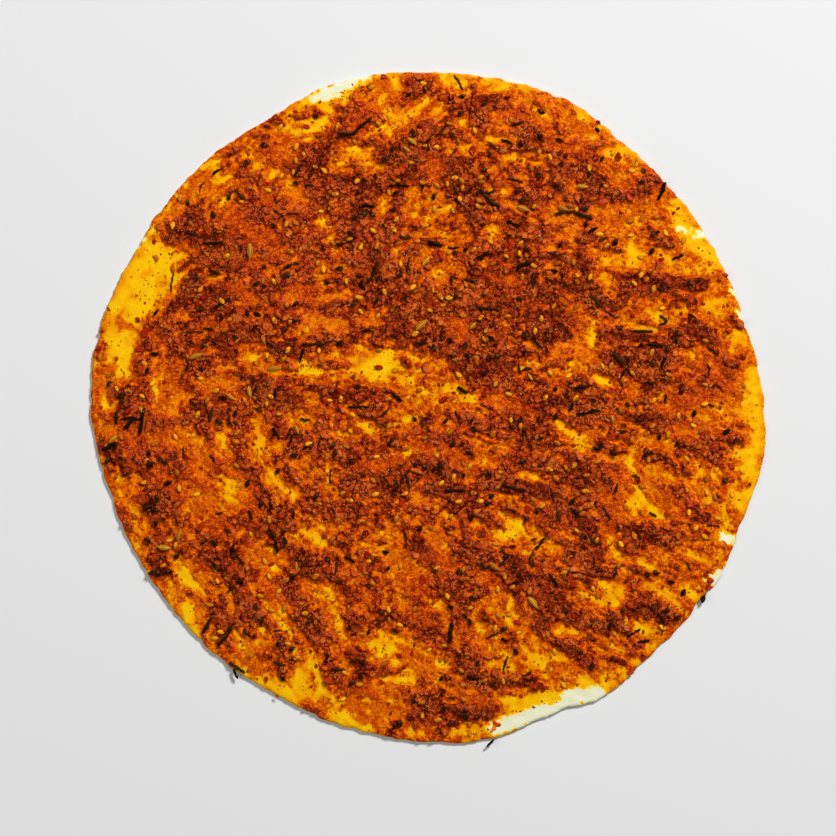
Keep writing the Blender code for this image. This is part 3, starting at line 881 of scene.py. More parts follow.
def flecks(s):
    """Crisp spots about half a millimetre across, in loose groups."""
    return s.noise(0.8, 2).between(0.59, 0.64) * s.noise(4, 2).between(0.4, 0.6)


def cracks(s):
    """Thin curled lines, 1 along them and 0 off them, that come and go."""
    wave = (s.noise(2.0, 1.5, s.swirled(500, 2.0)) - 0.5).folded()
    line = 1 - wave.between(0.03, 0.075)
    return line * s.noise(2.6, 2).between(0.33, 0.49)


def dough_material():
    s = Shader("oiled dough")
    level = s.node("ShaderNodeSeparateXYZ", None, s.place, output="Z")
    stain = s.attribute("stain") * level.between(0.2 * MM, 1.6 * MM)
    frayed = stain + (s.noise(2.8, 2) - 0.5) * 0.24 + (s.noise(0.8, 2) - 0.5) * 0.04
    colour = s.ramp(
        frayed,
        (0.06, rgb(226, 224, 192)),
        (0.16, rgb(236, 216, 96)),
        (0.26, rgb(240, 188, 8)),
        (0.40, rgb(237, 164, 5)),
        (0.58, rgb(230, 134, 2)),
        (0.76, rgb(220, 104, 2)),
        (0.96, rgb(188, 64, 4)),
    )
    smudge = s.noise(1.5, 3).between(0.56, 0.68) * s.noise(5, 2).between(0.4, 0.6)
    colour = s.mix(smudge * frayed.between(0.35, 0.75) * 0.65, colour, rgb(176, 46, 0))
    marks = cracks(s) * frayed.between(0.4, 0.7) * 0.7
    colour = s.mix(marks, colour, rgb(150, 26, 0))
    colour = s.mix(flecks(s) * frayed.between(0.25, 0.6) * 0.85, colour, rgb(146, 22, 0))
    roughness = 0.62 - stain.between(0.1, 0.5) * 0.20
    relief = s.noise(1.6, 3) + s.noise(0.5, 2) * 0.3
    return oily(s, colour, roughness, 0.08, Normal=s.bump(relief, 0.25, 0.6))


dough.data.materials.append(dough_material())

# %% [markdown]
# ## Paste
#
# Cooked pepper paste is terracotta where it is thick and lets the orange through where it is
# thin. The lumps of the map go on here at a finer size, made the same way from noise folded over
# at its middle. Their tops are given painted light and their valleys painted shade, darkest along
# thin crease lines, and the same height raises the bump. Flakes and crumbs lie in this paste, so
# they share its colours.

# %% Paste colours
# the deepest painted shade, for valleys, crevices and the gaps round flakes
PAINTED_CREASE_SHADE = rgb(46, 2, 1)
# oil soaked into folds and hollows, with painted shade over it
SOAKED_AND_SHADED = rgb(104, 9, 2)
SMUDGE = rgb(144, 26, 5)
FRESH = rgb(190, 66, 32)


def mashed(s):
    """Fine lumps: 0 in their valleys, about 0.5 on most and 1 on a few."""
    bent = s.swirled(600, 1.6)
    large = (s.noise(3.0, 1, bent) - 0.5).folded()
    small = (s.noise(1.2, 2, bent) - 0.5).folded()
    return large * 3.4 + small * 1.8


def terracotta(s, tone):
    """Mashed pepper, from the painted shade of its valleys to the painted light on its tops."""
    return s.ramp(
        tone,
        (0.00, rgb(64, 8, 2)),
        (0.15, rgb(114, 24, 4)),
        (0.34, rgb(162, 50, 8)),
        (0.56, rgb(192, 76, 18)),
        (0.82, rgb(206, 104, 40)),
    )


def smeared(s, amount):
    """Oil and a little paste over dough, from a stain to a thin layer."""
    return s.ramp(
        amount,
        (0.00, rgb(234, 126, 2)),
        (0.24, rgb(224, 98, 3)),
        (0.50, rgb(202, 68, 5)),
        (0.80, rgb(156, 38, 5)),
    )


# %% Paste material
def paste_material():
    s = Shader("pepper paste")
    amount = s.attribute("amount")
    plain = s.noise(9, 2).between(0.53, 0.66)
    lumps = s.blend(plain * 0.75, mashed(s), 0.5)
    # painted shade in the valleys between the fine lumps and those of the map
    valley = (1 - lumps.between(0.04, 0.22)) * s.noise(3.4, 2).between(0.34, 0.52)
    valley = valley + s.attribute("valley") * s.noise(2.8, 2).between(0.36, 0.56) * 0.5
    mottled = amount + (s.noise(2.1, 2) - 0.5) * 0.36 + (s.noise(5, 2) - 0.5) * 0.36
    # where the paste is thin, the lumps' tops are painted lighter
    grainy = mottled - (lumps - 0.5) * 0.25
    # the lumps lift the tone: painted light on their tops, painted shade in their valleys
    thick = terracotta(s, lumps * 0.8 + s.attribute("shade") * 0.5 + s.noise(5, 2) * 0.4 - 0.32)
    thick = s.mix(s.noise(12, 2).between(0.5, 0.64) * 0.55, thick, FRESH)
    colour = s.mix(mottled.between(0.3, 0.68), smeared(s, grainy), thick)
    smudge = s.noise(1.3, 3).between(0.54, 0.66) * s.noise(4, 2).between(0.35, 0.6)
    colour = s.mix(smudge * 0.55, colour, SMUDGE)
    # darkening of folds and hollows: partly soaked oil, partly painted shade
    colour = s.mix(s.attribute("hollow") * 0.66, colour, SOAKED_AND_SHADED)
    # the colour of the painted shade: deep in thick paste, redder where it is thin
    dark = s.mix(mottled.between(0.25, 0.6), rgb(164, 34, 3), PAINTED_CREASE_SHADE)
    colour = s.mix(valley * mottled.between(0.05, 0.5), colour, dark)
    # painted shade along thin crevice lines
    colour = s.mix(cracks(s) * mottled.between(-0.1, 0.3) * 0.95, colour, dark)
    colour = s.mix(flecks(s) * 0.75, colour, dark)
    return oily(s, colour, 0.42, 0.12, Normal=s.bump(lumps, 0.6))


paste.data.materials.append(paste_material())

# %% [markdown]
# ## Scattering with Geometry Nodes
#
# Crumbs, seeds and herbs all follow one rule: pick points on a surface, lay a shape on each, turn
# and size it a little differently, and make one plain mesh of the lot. One node tree with named
# inputs does that for every kind. Points keep a least distance from each other, as chopped bits
# pushed about by a spoon do, and an attribute on the surface says how many belong where.

# %% Helpers for node trees
def adder(tree):
    """A function that adds a node with its settings and sockets, and returns its first output."""

    def add(kind, settings=None, *values, **named):
        node = new_node(tree, kind, settings, values, named)
        return next(s for s in node.outputs if s.enabled)

    return add


def carried(add, name, kind="FLOAT"):
    """What the points or the surface carry under that name."""
    return add("GeometryNodeInputNamedAttribute", {"data_type": kind}, Name=name)


def placed(add, points, shapes, pick, turn, size):
    """A shape picked from a collection on each point, turned and sized."""
    shapes = add(
        "GeometryNodeCollectionInfo",
        Collection=shapes,
        Separate_Children=True,
        Reset_Children=True,
    )
    return add(
        "GeometryNodeInstanceOnPoints",
        Points=points,
        Instance=shapes,
        Pick_Instance=True,
        Instance_Index=pick,
        Rotation=turn,
        Scale=size,
    )


def opened(name, inputs):
    """A new tree with these inputs, and its sockets."""
    tree = bpy.data.node_groups.new(name, "GeometryNodeTree")
    for label, kind, default in inputs:
        socket = tree.interface.new_socket(name=label, in_out="INPUT", socket_type=kind)
        if default is not None:
            socket.default_value = default
    tree.interface.new_socket(name="Result", in_out="OUTPUT", socket_type="NodeSocketGeometry")
    return tree, tree.nodes.new("NodeGroupInput").outputs


def closed(tree, geometry, material):
    """Ends a tree: real geometry, with its material."""
    add = adder(tree)
    real = add("GeometryNodeRealizeInstances", Geometry=geometry)
    painted = add("GeometryNodeSetMaterial", Geometry=real, Material=material)
    result = tree.nodes.new("NodeGroupOutput")
    tree.links.new(painted, result.inputs["Result"])
    return tree


def run_tree(tree, name, mesh, inputs):
    """Runs a tree on a mesh and keeps the result as a plain mesh object."""
    holder = bpy.data.objects.new(name, mesh)
    bpy.context.scene.collection.objects.link(holder)
    modifier = holder.modifiers.new(tree.name, "NODES")
    modifier.node_group = tree
    for item in tree.interface.items_tree:
        if item.in_out == "INPUT" and item.name in inputs:
            modifier[item.identifier] = inputs[item.name]
    bpy.context.view_layer.update()
    graph = bpy.context.evaluated_depsgraph_get()
    result = bpy.data.meshes.new_from_object(holder.evaluated_get(graph))
    bpy.data.objects.remove(holder)
    result.name = name
    piece = bpy.data.objects.new(name, result)
    bpy.context.scene.collection.objects.link(piece)
    print(name, sum(len(face.vertices) - 2 for face in result.polygons), "triangles")
    return piece


# %% The scatter tree
UPRIGHT = 0.75  # bits settle only on faces whose normal rises at least this much
ANY_SHAPE = 50  # picks run from 0 to this and wrap round the few shapes there are
INPUTS = (
    ("Surface", "NodeSocketGeometry", None),
    ("Shapes", "NodeSocketCollection", None),
    ("Where", "NodeSocketString", "flakes"),
    ("Spacing", "NodeSocketFloat", 2.0),
    ("Per square metre", "NodeSocketFloat", 1e6),
    ("Smallest", "NodeSocketFloat", 0.7),
    ("Largest", "NodeSocketFloat", 1.3),
    ("Favour small", "NodeSocketFloat", 1.0),
    ("Tilt", "NodeSocketFloat", 0.3),
    ("Lift", "NodeSocketFloat", 0.0),
    ("Seed", "NodeSocketInt", 1),
    ("Material", "NodeSocketMaterial", None),
)


def scatter_tree():
    tree, given = opened("scatter", INPUTS)
    add = adder(tree)

    def sums(operation, a, b):
        return add("ShaderNodeMath", {"operation": operation}, a, b)

    def chance(low, high, shift, kind="FLOAT"):
        """A random value for each point. Each shift gives another set."""
        seed = sums("ADD", given["Seed"], shift)
        return add("FunctionNodeRandomValue", {"data_type": kind}, Min=low, Max=high, Seed=seed)

    normal = add("ShaderNodeSeparateXYZ", Vector=add("GeometryNodeInputNormal")).node
    points = add(
        "GeometryNodeDistributePointsOnFaces",
        {"distribute_method": "POISSON"},
        Mesh=given["Surface"],
        Distance_Min=given["Spacing"],
        Density_Max=given["Per square metre"],
        Density_Factor=carried(add, given["Where"]),
        Selection=add(
            "FunctionNodeCompare",
            {"operation": "GREATER_THAN"},
            A=normal.outputs["Z"],
            B=UPRIGHT,
        ),
        Seed=given["Seed"],
    )

    tilt_back = sums("MULTIPLY", given["Tilt"], -1)
    lean = add(
        "ShaderNodeCombineXYZ",
        X=chance(tilt_back, given["Tilt"], 1),
        Y=chance(tilt_back, given["Tilt"], 2),
        Z=chance(0.0, math.tau, 3),
    )
    turn = add(
        "FunctionNodeRotateRotation",
        {"rotation_space": "LOCAL"},
        Rotation=points.node.outputs["Rotation"],
        Rotate_By=add("FunctionNodeEulerToRotation", Euler=lean),
    )
    share = sums("POWER", chance(0.0, 1.0, 4), given["Favour small"])
    span = sums("SUBTRACT", given["Largest"], given["Smallest"])
    size = sums("ADD", given["Smallest"], sums("MULTIPLY", share, span))
    laid = placed(add, points, given["Shapes"], chance(0, ANY_SHAPE, 5, "INT"), turn, size)
    lifted = add(
        "GeometryNodeTranslateInstances",
        Instances=laid,
        Translation=add("ShaderNodeCombineXYZ", Z=given["Lift"]),
        Local_Space=False,
    )
    toned = add(
        "GeometryNodeStoreNamedAttribute",
        {"data_type": "FLOAT", "domain": "INSTANCE"},
        Geometry=lifted,
        Name="tone",
        Value=chance(0.0, 1.0, 6),
    )
    return closed(tree, toned, given["Material"])


SCATTER = scatter_tree()


def scatter(name, surface, shapes, material, **inputs):
    """Scatters shapes over a piece."""
    wanted = {key.replace("_", " "): value for key, value in inputs.items()}
    wanted.update({"Shapes": shapes, "Material": material})
    return run_tree(SCATTER, name, surface.data, wanted)


# %% [markdown]
# ## Flakes and crumbs of pepper
#
# Each kind has a few shapes, so that no two neighbours match, and each shape only some twenty
# triangles, because there are thousands. A flake is a low plate: an uneven outline, a smaller and
# higher one inside it, a middle that is dished or domed, and a flat underside. Its outer ring,
# and a dished middle, carry a "rim" value, and the material paints parts of them dark, as
# painted shade round and in the bit of pepper.


# %% Flake shapes
def shape_collection(name, meshes):
    """Keeps shapes out of the scene, in a collection that only the tree looks into."""
    shapes = bpy.data.collections.new(name)
    for number, mesh in enumerate(meshes):
        shapes.objects.link(bpy.data.objects.new(f"{name}_{number}", mesh))
    return shapes


def shape_mesh(name, shape, rims, sharp=45):
    """Turns a bmesh in millimetres into a mesh with a rim value for each vertex."""
    bmesh.ops.triangulate(shape, faces=shape.faces[:])
    bmesh.ops.recalc_face_normals(shape, faces=shape.faces[:])
    bmesh.ops.scale(shape, vec=(MM, MM, MM), verts=shape.verts[:])
    mesh = bpy.data.meshes.new(name)
    shape.to_mesh(mesh)
    shape.free()
    mesh.attributes.new("rim", "FLOAT", "POINT").data.foreach_set("value", rims)
    mesh.shade_smooth()
    mesh.set_sharp_from_angle(angle=math.radians(sharp))
    return mesh


def flake_mesh(seed, width, height, corners, inner, outlined=1.0):
    """An uneven plate with a smaller outline on top and a dished or domed middle."""
    rng = np.random.default_rng(seed)
    turns = (np.arange(corners) + 0.6 * rng.random(corners)) * math.tau / corners
    radii = width / 2 * (0.58 + 0.72 * rng.random(corners))
    outline = np.array([np.cos(turns) * radii * 1.15, np.sin(turns) * radii * 0.75]).T
    shift = 0.12 * width * (rng.random(2) - 0.5)
    shape = bmesh.new()
    outer = [shape.verts.new((x, y, -0.1 * height)) for x, y in outline]
    tops = outline * inner + shift
    raised = height * (0.7 + 0.6 * rng.random(corners))
    top = [shape.verts.new((x, y, z)) for (x, y), z in zip(tops, raised)]
    dish = rng.uniform(-0.5, 0.35)
    middle = shape.verts.new((*tops.mean(axis=0), raised.mean() + dish * height))
    shape.faces.new(outer[::-1])
    for i in range(corners):
        j = (i + 1) % corners
        shape.faces.new((outer[i], outer[j], top[j], top[i]))
        shape.faces.new((top[i], top[j], middle))
    return shape_mesh("flake", shape, [outlined] * corners + [0.0] * corners + [max(0.0, -dish)])


flake_shapes = shape_collection(
    "flake", [flake_mesh(100 + i, 3.2, 0.5, 7 + i % 3, 0.74) for i in range(14)]
)
crumb_shapes = shape_collection(
    "crumb", [flake_mesh(200 + i, 1.3, 0.28, 5, 0.6, 0.7) for i in range(9)]
)


# %% Flake material
def flake_material():
    s = Shader("pepper flakes")
    rim = s.attribute("rim")
    luck = s.attribute("tone")
    lumps = mashed(s)
    # the lumps lift the tone: painted light on the flake's tops, painted shade in its valleys
    tone = luck * 0.18 + s.attribute("shade") * 0.45 + lumps * 0.5 - 0.02
    colour = terracotta(s, tone)
    colour = s.mix(luck.between(0.84, 0.9) * 0.6, colour, rgb(168, 32, 16))
    thin = 1 - (s.attribute("amount") + (luck - 0.5) * 0.5).between(0.05, 0.6)
    colour = s.mix(thin * 0.6, colour, s.mix(luck, rgb(150, 28, 4), rgb(200, 80, 6)))
    # partly soaked oil, partly painted shade, as on the paste
    colour = s.mix(s.attribute("hollow") * 0.45, colour, SOAKED_AND_SHADED)
    # painted shade in broken arcs round the flake's outer ring
    outline = rim.between(0.15, 1.0) * s.noise(2.4, 2).between(0.36, 0.54)
    colour = s.mix(outline, colour, PAINTED_CREASE_SHADE)
    return oily(s, colour, 0.4, 0.12, Normal=s.bump(lumps, 0.35, 0.7))


flake_paint = flake_material()
flakes = scatter(
    "pepper_flakes", paste, flake_shapes, flake_paint,
    Where="flakes", Spacing=2.2 * MM, Per_square_metre=1.2e6, Smallest=0.4, Largest=1.4,
    Favour_small=1.6, Tilt=0.14, Lift=-0.18 * MM, Seed=3,
)  # fmt: skip
crumbs = scatter(
    "pepper_crumbs", paste, crumb_shapes, flake_paint,
    Where="crumbs", Spacing=1.9 * MM, Per_square_metre=1.2e6, Smallest=0.4, Largest=1.3,
    Favour_small=1.8, Tilt=0.25, Lift=-0.1 * MM, Seed=4,
)  # fmt: skip

# %% [markdown]
# ## Where seeds, stalks and leaves lie
#
# The seeds and herbs are what the eye goes to first, so the plain ones to see are each laid where
# they are on this bread, and the rest are strewn at random but never on top of these. A short list
# of places for each kind is the honest way to say it. Every kind then becomes a cloud of points
# that carry a turn, a size and a tone.

# %% Places
NIGELLA = (
    (9, 27.5), (2.5, 24.5), (15.5, 25.5), (9.5, 21), (16.5, 21), (25.5, 20.5), (28.5, 21),
    (24, 14.5), (26, 28.5), (-21, 44), (-31, 42), (-36, 26.5), (-28.5, 8.5), (7, -5.5),
    (18, -5.5), (19, -9), (38, -5), (39.5, -9.5), (10, -15), (16.5, -18.5), (-15, -13.5),
    (-39, -15.5), (-38, -18.5), (-5, -23.5), (-1.5, -24.5), (2.5, -25), (5, -23.5), (5, -26.5),
    (14.5, -28), (-12.5, -31.5), (-14, -35), (-45.5, -36), (26, -36.5), (24.5, -39.5),
    (-31, -22), (44.5, -42.5), (39, -22), (46, -24), (-5.5, -4.5), (40, -46), (-74, 100.5),
    (-67, 107.5), (-54, 92), (-81.5, 86), (-98.5, 84), (-48, 96), (-76.5, 65.5), (-74, 62.5),
    (-88, 79), (-57, 58), (-54, 59), (-95, 53), (52, 7.5), (92, 18), (109, -2.5), (102.5, 30.5),
    (126, -13.5), (122, -10), (122, -30), (95, -12), (102, -15), (104, 7), (79, 32.5),
    (69, -17), (71, -16), (76, -18.5), (48.5, 27.5), (87, 25.5), (90, -68.5), (93.5, -67.5),
    (99.5, -71.5), (104.5, -76), (113, -78.5), (102, -86.5), (80, -83.5), (70, -66.5),
    (67, -106.5), (62, -100), (13.5, 127.5), (13.5, 120.5), (-6, 113.3), (-6, 111),
    (-17.5, 101.5), (-21.5, 94.5), (-13, 88), (2.5, 86.5), (16.5, 88.3), (-14.5, 81),
    (-29.5, 78.5), (-26, 79.5), (-31.5, 71.5), (-28.5, 88), (23, 97), (24.5, 94.5), (45.5, 95),
    (38.5, 85), (37, 89), (33, 70.5), (15.5, 64.5), (23, 124), (46, 111), (46.5, 121.5),
    (-46, 119), (-11, 54.5), (-36.5, 57), (-41.5, 51.5), (38, 108), (22.5, 75), (53.8, 109.5),
    (56.5, 103), (55, 99.7), (53, 91), (65, 81.5), (88.5, 97), (87.5, 92.5), (92, 71),
    (76.5, 67.5), (91.5, 64), (51.5, 56), (54, 66.5), (66, 95.5), (69.5, 114), (71.5, 102),
    (111, 52), (107.5, 51), (63, 85), (-112.5, 22), (-115, 15.3), (-114.5, -19), (-113.8, -23),
    (-106.5, -31), (-125.5, 5.5), (-125, 3), (-131, 9.5), (-78.5, 23), (-93, 16), (-74, 38.8),
    (-70, 38.3), (-84.5, 37.5), (-93.5, 40), (-85.5, -6), (-73.8, -31), (-55, -19.5),
    (-68.5, -39.5), (-64.5, -40), (-84, 4), (-70.3, 7.7), (-61.5, -26), (-79, 29),
    (-58.5, 32), (-54.5, 42.5), (-92, 25.5), (-131.5, -22), (-115, -54.5), (-113, -68),
    (-110.5, -68), (-87.5, -65), (-85.5, -66.5), (-80, -61.5), (-81, -91), (-74.5, -92),
    (-61.3, -97), (-55.5, -99), (-68.5, -87.5), (-58.5, -54.5), (-62, -58), (-70.5, -81.5),
    (-51, -64), (-55, -69), (-59.5, -111), (-49, -88), (-17.5, -59.2), (-41, -62.5),
    (-16.5, -66), (-18.5, -84), (-32, -90), (-24.5, -92), (-27, -104), (-31, -104),
    (-27.5, -110), (-31, -113), (-6, -120), (-14, -131), (-11.5, -129.5), (23, -65),
    (31.5, -61.5), (31, -63.5), (13, -67.5), (17, -88), (31, -91), (36, -100), (9, -81.5),
    (13, -126.5), (15.5, -127), (9.5, -129.5), (5.5, -111), (20.5, -104.5), (36, -71.5),
    (35, -66.5),
)  # fmt: skip
SESAME = (
    (23, 28), (-17, 37.7), (-20.5, 37.5), (14, 37.8), (-3.5, 7), (17.5, 11.5), (12.5, 13.5),
    (33, 5.5), (-1.5, -12.5), (3.5, -19.5), (38, -7.5), (39, -16.5), (14.5, -23), (33, -39.5),
    (-21.5, -35.5), (-32, -38), (-35, -35), (-9, -17), (-13, -45.5), (-27, -46.5), (5.5, -31),
    (-72, 95.5), (-76.5, 84.5), (-54, 107), (-67.5, 62), (-58, 75.5), (56, 42.5), (61, 41.5),
    (98.5, 13.5), (71.5, 17), (75, 17), (113.5, 9.5), (53, -14.5), (79, -1), (60, -18),
    (106, -21), (121.5, 22), (115, -39), (107, -43), (98.5, -11), (102.5, -55.5), (113.5, -53),
    (56, -111), (84.5, -52.5), (81, -88), (-37, 115.5), (-12.5, 111.5), (-42.5, 97),
    (3.5, 91.2), (21.5, 94.3), (22, 92.5), (-9.5, 85.5), (-16, 88), (-12.5, 93), (-29, 93),
    (8, 91.5), (21, 84.8), (20.5, 82.5), (25.5, 81.5), (38, 67.5), (25.7, 68), (43.5, 82.5),
    (-22.5, 72.5), (-27.5, 66), (-39, 67.5), (32, 62), (18, 59.5), (26.5, 59), (32, 56),
    (30, 98.5), (12, 74.5), (-14, 73), (-27, 97), (34, 118), (55.5, 92), (89.5, 84.5),
    (83, 76.5), (87, 61.5), (66.5, 53.5), (-131.3, 13), (-93.3, 12), (-70.5, 18), (-64.5, 4.5),
    (-62.8, 35.5), (-112, -15), (-115.5, -22), (-75, 3), (-59, 20), (-85.5, -8.5), (-66, 21.5),
    (-106, -54.5), (-96.5, -55.3), (-72.5, -52), (-74, -65.8), (-85, -92), (-24.5, -63),
    (5, -103.5), (7.5, -103), (34.5, -73.5), (2.5, -79.5), (17.5, -82), (-28, -113.5),
    (-22, -60.5), (36, -111.5), (-8.5, -76.5), (14.5, -66.5),
)  # fmt: skip
FENNEL = (
    ((-5, 31.5), (0, 36)), ((17, 32), (20, 35)), ((41, 14), (43, 11)), ((-73, 67.5), (-73, 60.5)),
    ((-8.5, 110.5), (-4.5, 107.5)), ((-10, 107), (-7, 104.5)), ((36.5, 82.5), (42, 80.5)),
    ((-2.5, 58), (1, 62)), ((53, 82.5), (58, 80.5)), ((61, 91), (66, 90.5)), ((75, -3), (76, -6.5)),
    ((-98, 20), (-92, 22)), ((-131, -14.5), (-127, -11.5)), ((-66, 16), (-60, 16)),
    ((-54.5, -7), (-53, -11)), ((-82.5, 5.5), (-79, 3)), ((-73.5, 9), (-72.5, 4)),
    ((-111, -57), (-105, -57.5)), ((-102.5, -55), (-101, -49.5)), ((-54, -63), (-54, -67)),
    ((25, -63.5), (29.5, -67)), ((41, -77.5), (45, -82.5)),
)  # fmt: skip
STALKS = (
    # each a thickness and the bends it runs through
    (1.6, (12, 8.5), (16.5, 6)), (0.9, (-2.5, -4), (-2, -8)), (1.0, (-33, 0.3), (-24, 0.3)),
    (0.9, (-20, -4), (-16, -0.5)), (1.3, (-15, 6), (-10.5, 2.5)), (1.1, (20, 41), (29, 40)),
    (1.0, (-52, 26), (-42, 26)), (1.1, (7, -34), (15, -34)), (1.0, (30, -32), (40, -34)),
    (1.0, (43, 28), (47, 24)), (0.8, (40, 24), (39, 21)), (0.8, (37, 18), (38, 14)),
    (0.9, (-79, 89.5), (-75.5, 85)), (0.9, (-88.5, 95.5), (-85, 98)), (1.0, (-93, 67), (-84, 68)),
    (1.1, (84, 31.5), (92, 31)), (0.9, (95, 38), (98, 35.5), (94, 33)),
    (0.8, (107, 38.3), (110, 37)), (0.9, (97.5, 6), (97.3, 1.5)), (0.9, (114.5, 25), (119, 21.5)),
    (1.0, (61, -3), (70, -1)), (1.0, (71.5, -40), (75, -46)), (0.9, (77.5, -31), (77, -35)),
    (1.0, (58, -41), (62, -44)), (0.9, (91, -43), (94, -45)), (0.9, (89, 26), (96, 25)),
    (1.0, (77, -65), (76.5, -70)), (1.0, (86, -96), (91, -95.5)), (0.9, (92, -81), (93, -85)),
    (0.9, (94, -84), (97, -88)), (1.0, (-37, 112), (-30, 112.5), (-27, 116), (-23, 119)),
    (1.2, (-27, 83), (-21.5, 82.5)), (0.8, (-16, 91), (-8, 91)), (0.9, (10.5, 91), (12.5, 87)),
    (0.9, (7.5, 87), (10, 86)), (1.3, (19.5, 87), (21.5, 89.5), (25, 85), (29.5, 82)),
    (1.4, (0, 68), (6, 66)), (0.8, (8, 65.5), (13, 65.5)), (1.3, (32.5, 76.5), (37.5, 74.5)),
    (0.9, (-12, 70), (-7, 69.5)), (1.2, (-20.5, 60), (-22, 55), (-25, 51)),
    (0.7, (9.5, 54), (10, 50)), (1.4, (36, 56), (38, 58), (42, 60)), (0.8, (10, 104), (12, 106.5)),
    (0.8, (30, 110), (35, 108)), (1.0, (33.5, 115.5), (36, 116), (39, 117.5)),
    (1.2, (52, 79.5), (60, 80.5)), (1.4, (60, 80), (67.5, 77.5)), (1.3, (94.5, 85), (97.5, 92.5)),
    (1.1, (100, 61), (105, 62.5)), (1.1, (-127.5, -1), (-127.5, -7)),
    (0.9, (-126, -5), (-121, -4), (-117, -5.5)), (1.5, (-124.5, -9), (-121, -4.5)),
    (1.4, (-116.5, 0), (-118, -11)), (1.5, (-134, -17.5), (-127.5, -14.5)),
    (1.0, (-129, -18), (-127.5, -15)), (0.8, (-99, 20), (-98, 18), (-99, 14.5)),
    (1.1, (-51, 24), (-52.5, 18.5)), (1.0, (-88, 0), (-90, -6)), (0.6, (-100, 31), (-92, 31)),
    (1.0, (-92, 32.5), (-88, 32)), (0.7, (-126, -28), (-122, -27)), (1.0, (-63.5, -8), (-61, -13)),
    (0.9, (-55, -11), (-57, -16)), (0.9, (-56, -8.5), (-57.5, -12)),
    (0.8, (-89.5, -19.5), (-87.5, -22.5)), (1.0, (-73.5, -42), (-72, -46)),
    (0.8, (-55, -42), (-55, -46)), (0.9, (-87, -43.5), (-84, -43)), (0.5, (-67, 28), (-60, 22)),
    (0.8, (-63, 3.5), (-62.5, 8)), (1.7, (-117, -41), (-113, -40.5)),
    (1.3, (-79.5, -56), (-80.5, -60)), (0.9, (-79, -60), (-75, -64.5)),
    (1.4, (-92.5, -92.5), (-88.5, -86)), (1.1, (-86, -97.5), (-82, -93)),
    (1.0, (-81.5, -104.5), (-75, -109)), (1.0, (-80, -107), (-78, -111.5)),
    (0.9, (-93.5, -56), (-90, -54)), (0.6, (-75, -86), (-71, -86.5)),
    (0.8, (-63.5, -91.5), (-60, -91.5)), (1.0, (-65, -49), (-62, -56)),
    (1.1, (-34, -61), (-30, -63.5)), (1.1, (-37, -63), (-38, -68)),
    (0.9, (-40, -107), (-34, -107.5)), (0.9, (-42, -105), (-41, -101)),
    (1.6, (9.8, -88), (9, -96)), (1.2, (16, -110), (21, -111.5)),
    (1.1, (30, -94.5), (33, -95.5)), (0.8, (8, -119), (11, -119)), (0.9, (14, -124), (17, -124.5)),
    (0.9, (-15, -91), (-12, -92)), (0.9, (40, -110), (42.5, -108)), (1.0, (24, -139), (27.5, -136)),
)  # fmt: skip
LEAVES = (
    ((38, 15), (43, 16), 2.6), ((66, 46), (71, 41), 2.4), ((75, 23), (81, 17), 2.4),
    ((76, -10), (82, -9.5), 2.2), ((59, 7.5), (66, 8.5), 2.2), ((-9.5, 126.5), (-6.5, 129), 1.8),
    ((24, 109), (28, 106), 2.6), ((65, 71), (70, 74), 2.4), ((69, 67), (74, 70), 1.8),
    ((-113, 37), (-110, 40.5), 1.8), ((-72.5, 31.5), (-68.5, 34), 1.8), ((1, -35), (3.5, -36), 2.4),
    ((-82, -76), (-79, -72.5), 3.0), ((-16, 30), (-13, 28), 2.6), ((-27, 31.5), (-23, 31.5), 1.6),
)  # fmt: skip
SKINS = (
    # each a place and a width
    (6, 3, 3.6), (20, 8.5, 3.0), (23, 5.5, 3.4), (-20, 16.5, 3.2), (-23, 24.5, 2.6),
    (-14, 12, 2.6), (-4, 16.5, 2.2), (-18, -17, 3.0), (-13, -10.5, 2.6), (36, 11.5, 2.6),
    (-21, 3, 2.6), (41, -42, 3.2), (63, 12.5, 2.6), (73, 18.5, 2.4), (97, 45, 2.8),
    (124.5, -24, 4.0), (98, -44, 2.6), (75.5, 7, 2.4), (115, -74, 3.0), (83, -109, 2.6),
    (114, -69, 2.4), (-28, 124.5, 3.4), (-10, 124, 1.8), (19, 129, 2.6), (18, 105.5, 4.4),
    (-38.5, 76, 2.4), (5.5, 62.5, 3.2), (-25, 121, 2.4), (78, 102.5, 3.6), (60, 121, 2.6),
    (82.5, 86, 3.6), (95.5, 60.5, 2.8), (122, 54.5, 3.0), (70, 117, 2.6), (-135, 24.5, 3.4),
    (-119, 36, 3.2), (-118, 24, 3.4), (-116, 31, 5.0), (-134, 31, 2.6), (-106, 5.5, 3.0),
    (-61, -7, 2.4), (-66.5, -111.5, 3.2), (-62, -118.5, 2.0), (-49.5, -122.5, 3.2),
    (-2, -71, 4.2), (-13.5, -82, 3.6), (-12, -102, 2.8), (-10, -106.5, 2.4), (27, -70.5, 3.2),
    (-7, 133.5, 5.0), (-18, 136, 3.4), (37, -88, 2.8), (-38, -8, 2.8), (60, -76, 2.6),
)  # fmt: skip

TOP = np.where(COVER > 0, np.maximum(SPREAD_TOP, DOUGH_SKIN), DOUGH_SKIN)
TOP = np.maximum(TOP, blurred(TOP, 1.0) + 0.3 * smooth(0.1, 0.6, AMOUNT))  # seeds span the valleys


def strewn(count, seed, weight, taken, apart):
    """Adds places at random where weight, from 0 to 1, is high, none too near another."""
    rng = np.random.default_rng(seed)
    places = [tuple(place[:2]) for place in taken]
    fixed = len(places)
    while len(places) < fixed + count:
        x, y = rng.uniform(-REACH, REACH, 2)
        if at(weight, x, y) < rng.random():
            continue
        if min(math.hypot(x - px, y - py) for px, py in places) > apart:
            places.append((x, y))
    return places[fixed:]


def middles(lines):
    """Halfway between the first two points of each line."""
    return [((a[0] + b[0]) / 2, (a[1] + b[1]) / 2) for a, b, *rest in lines]


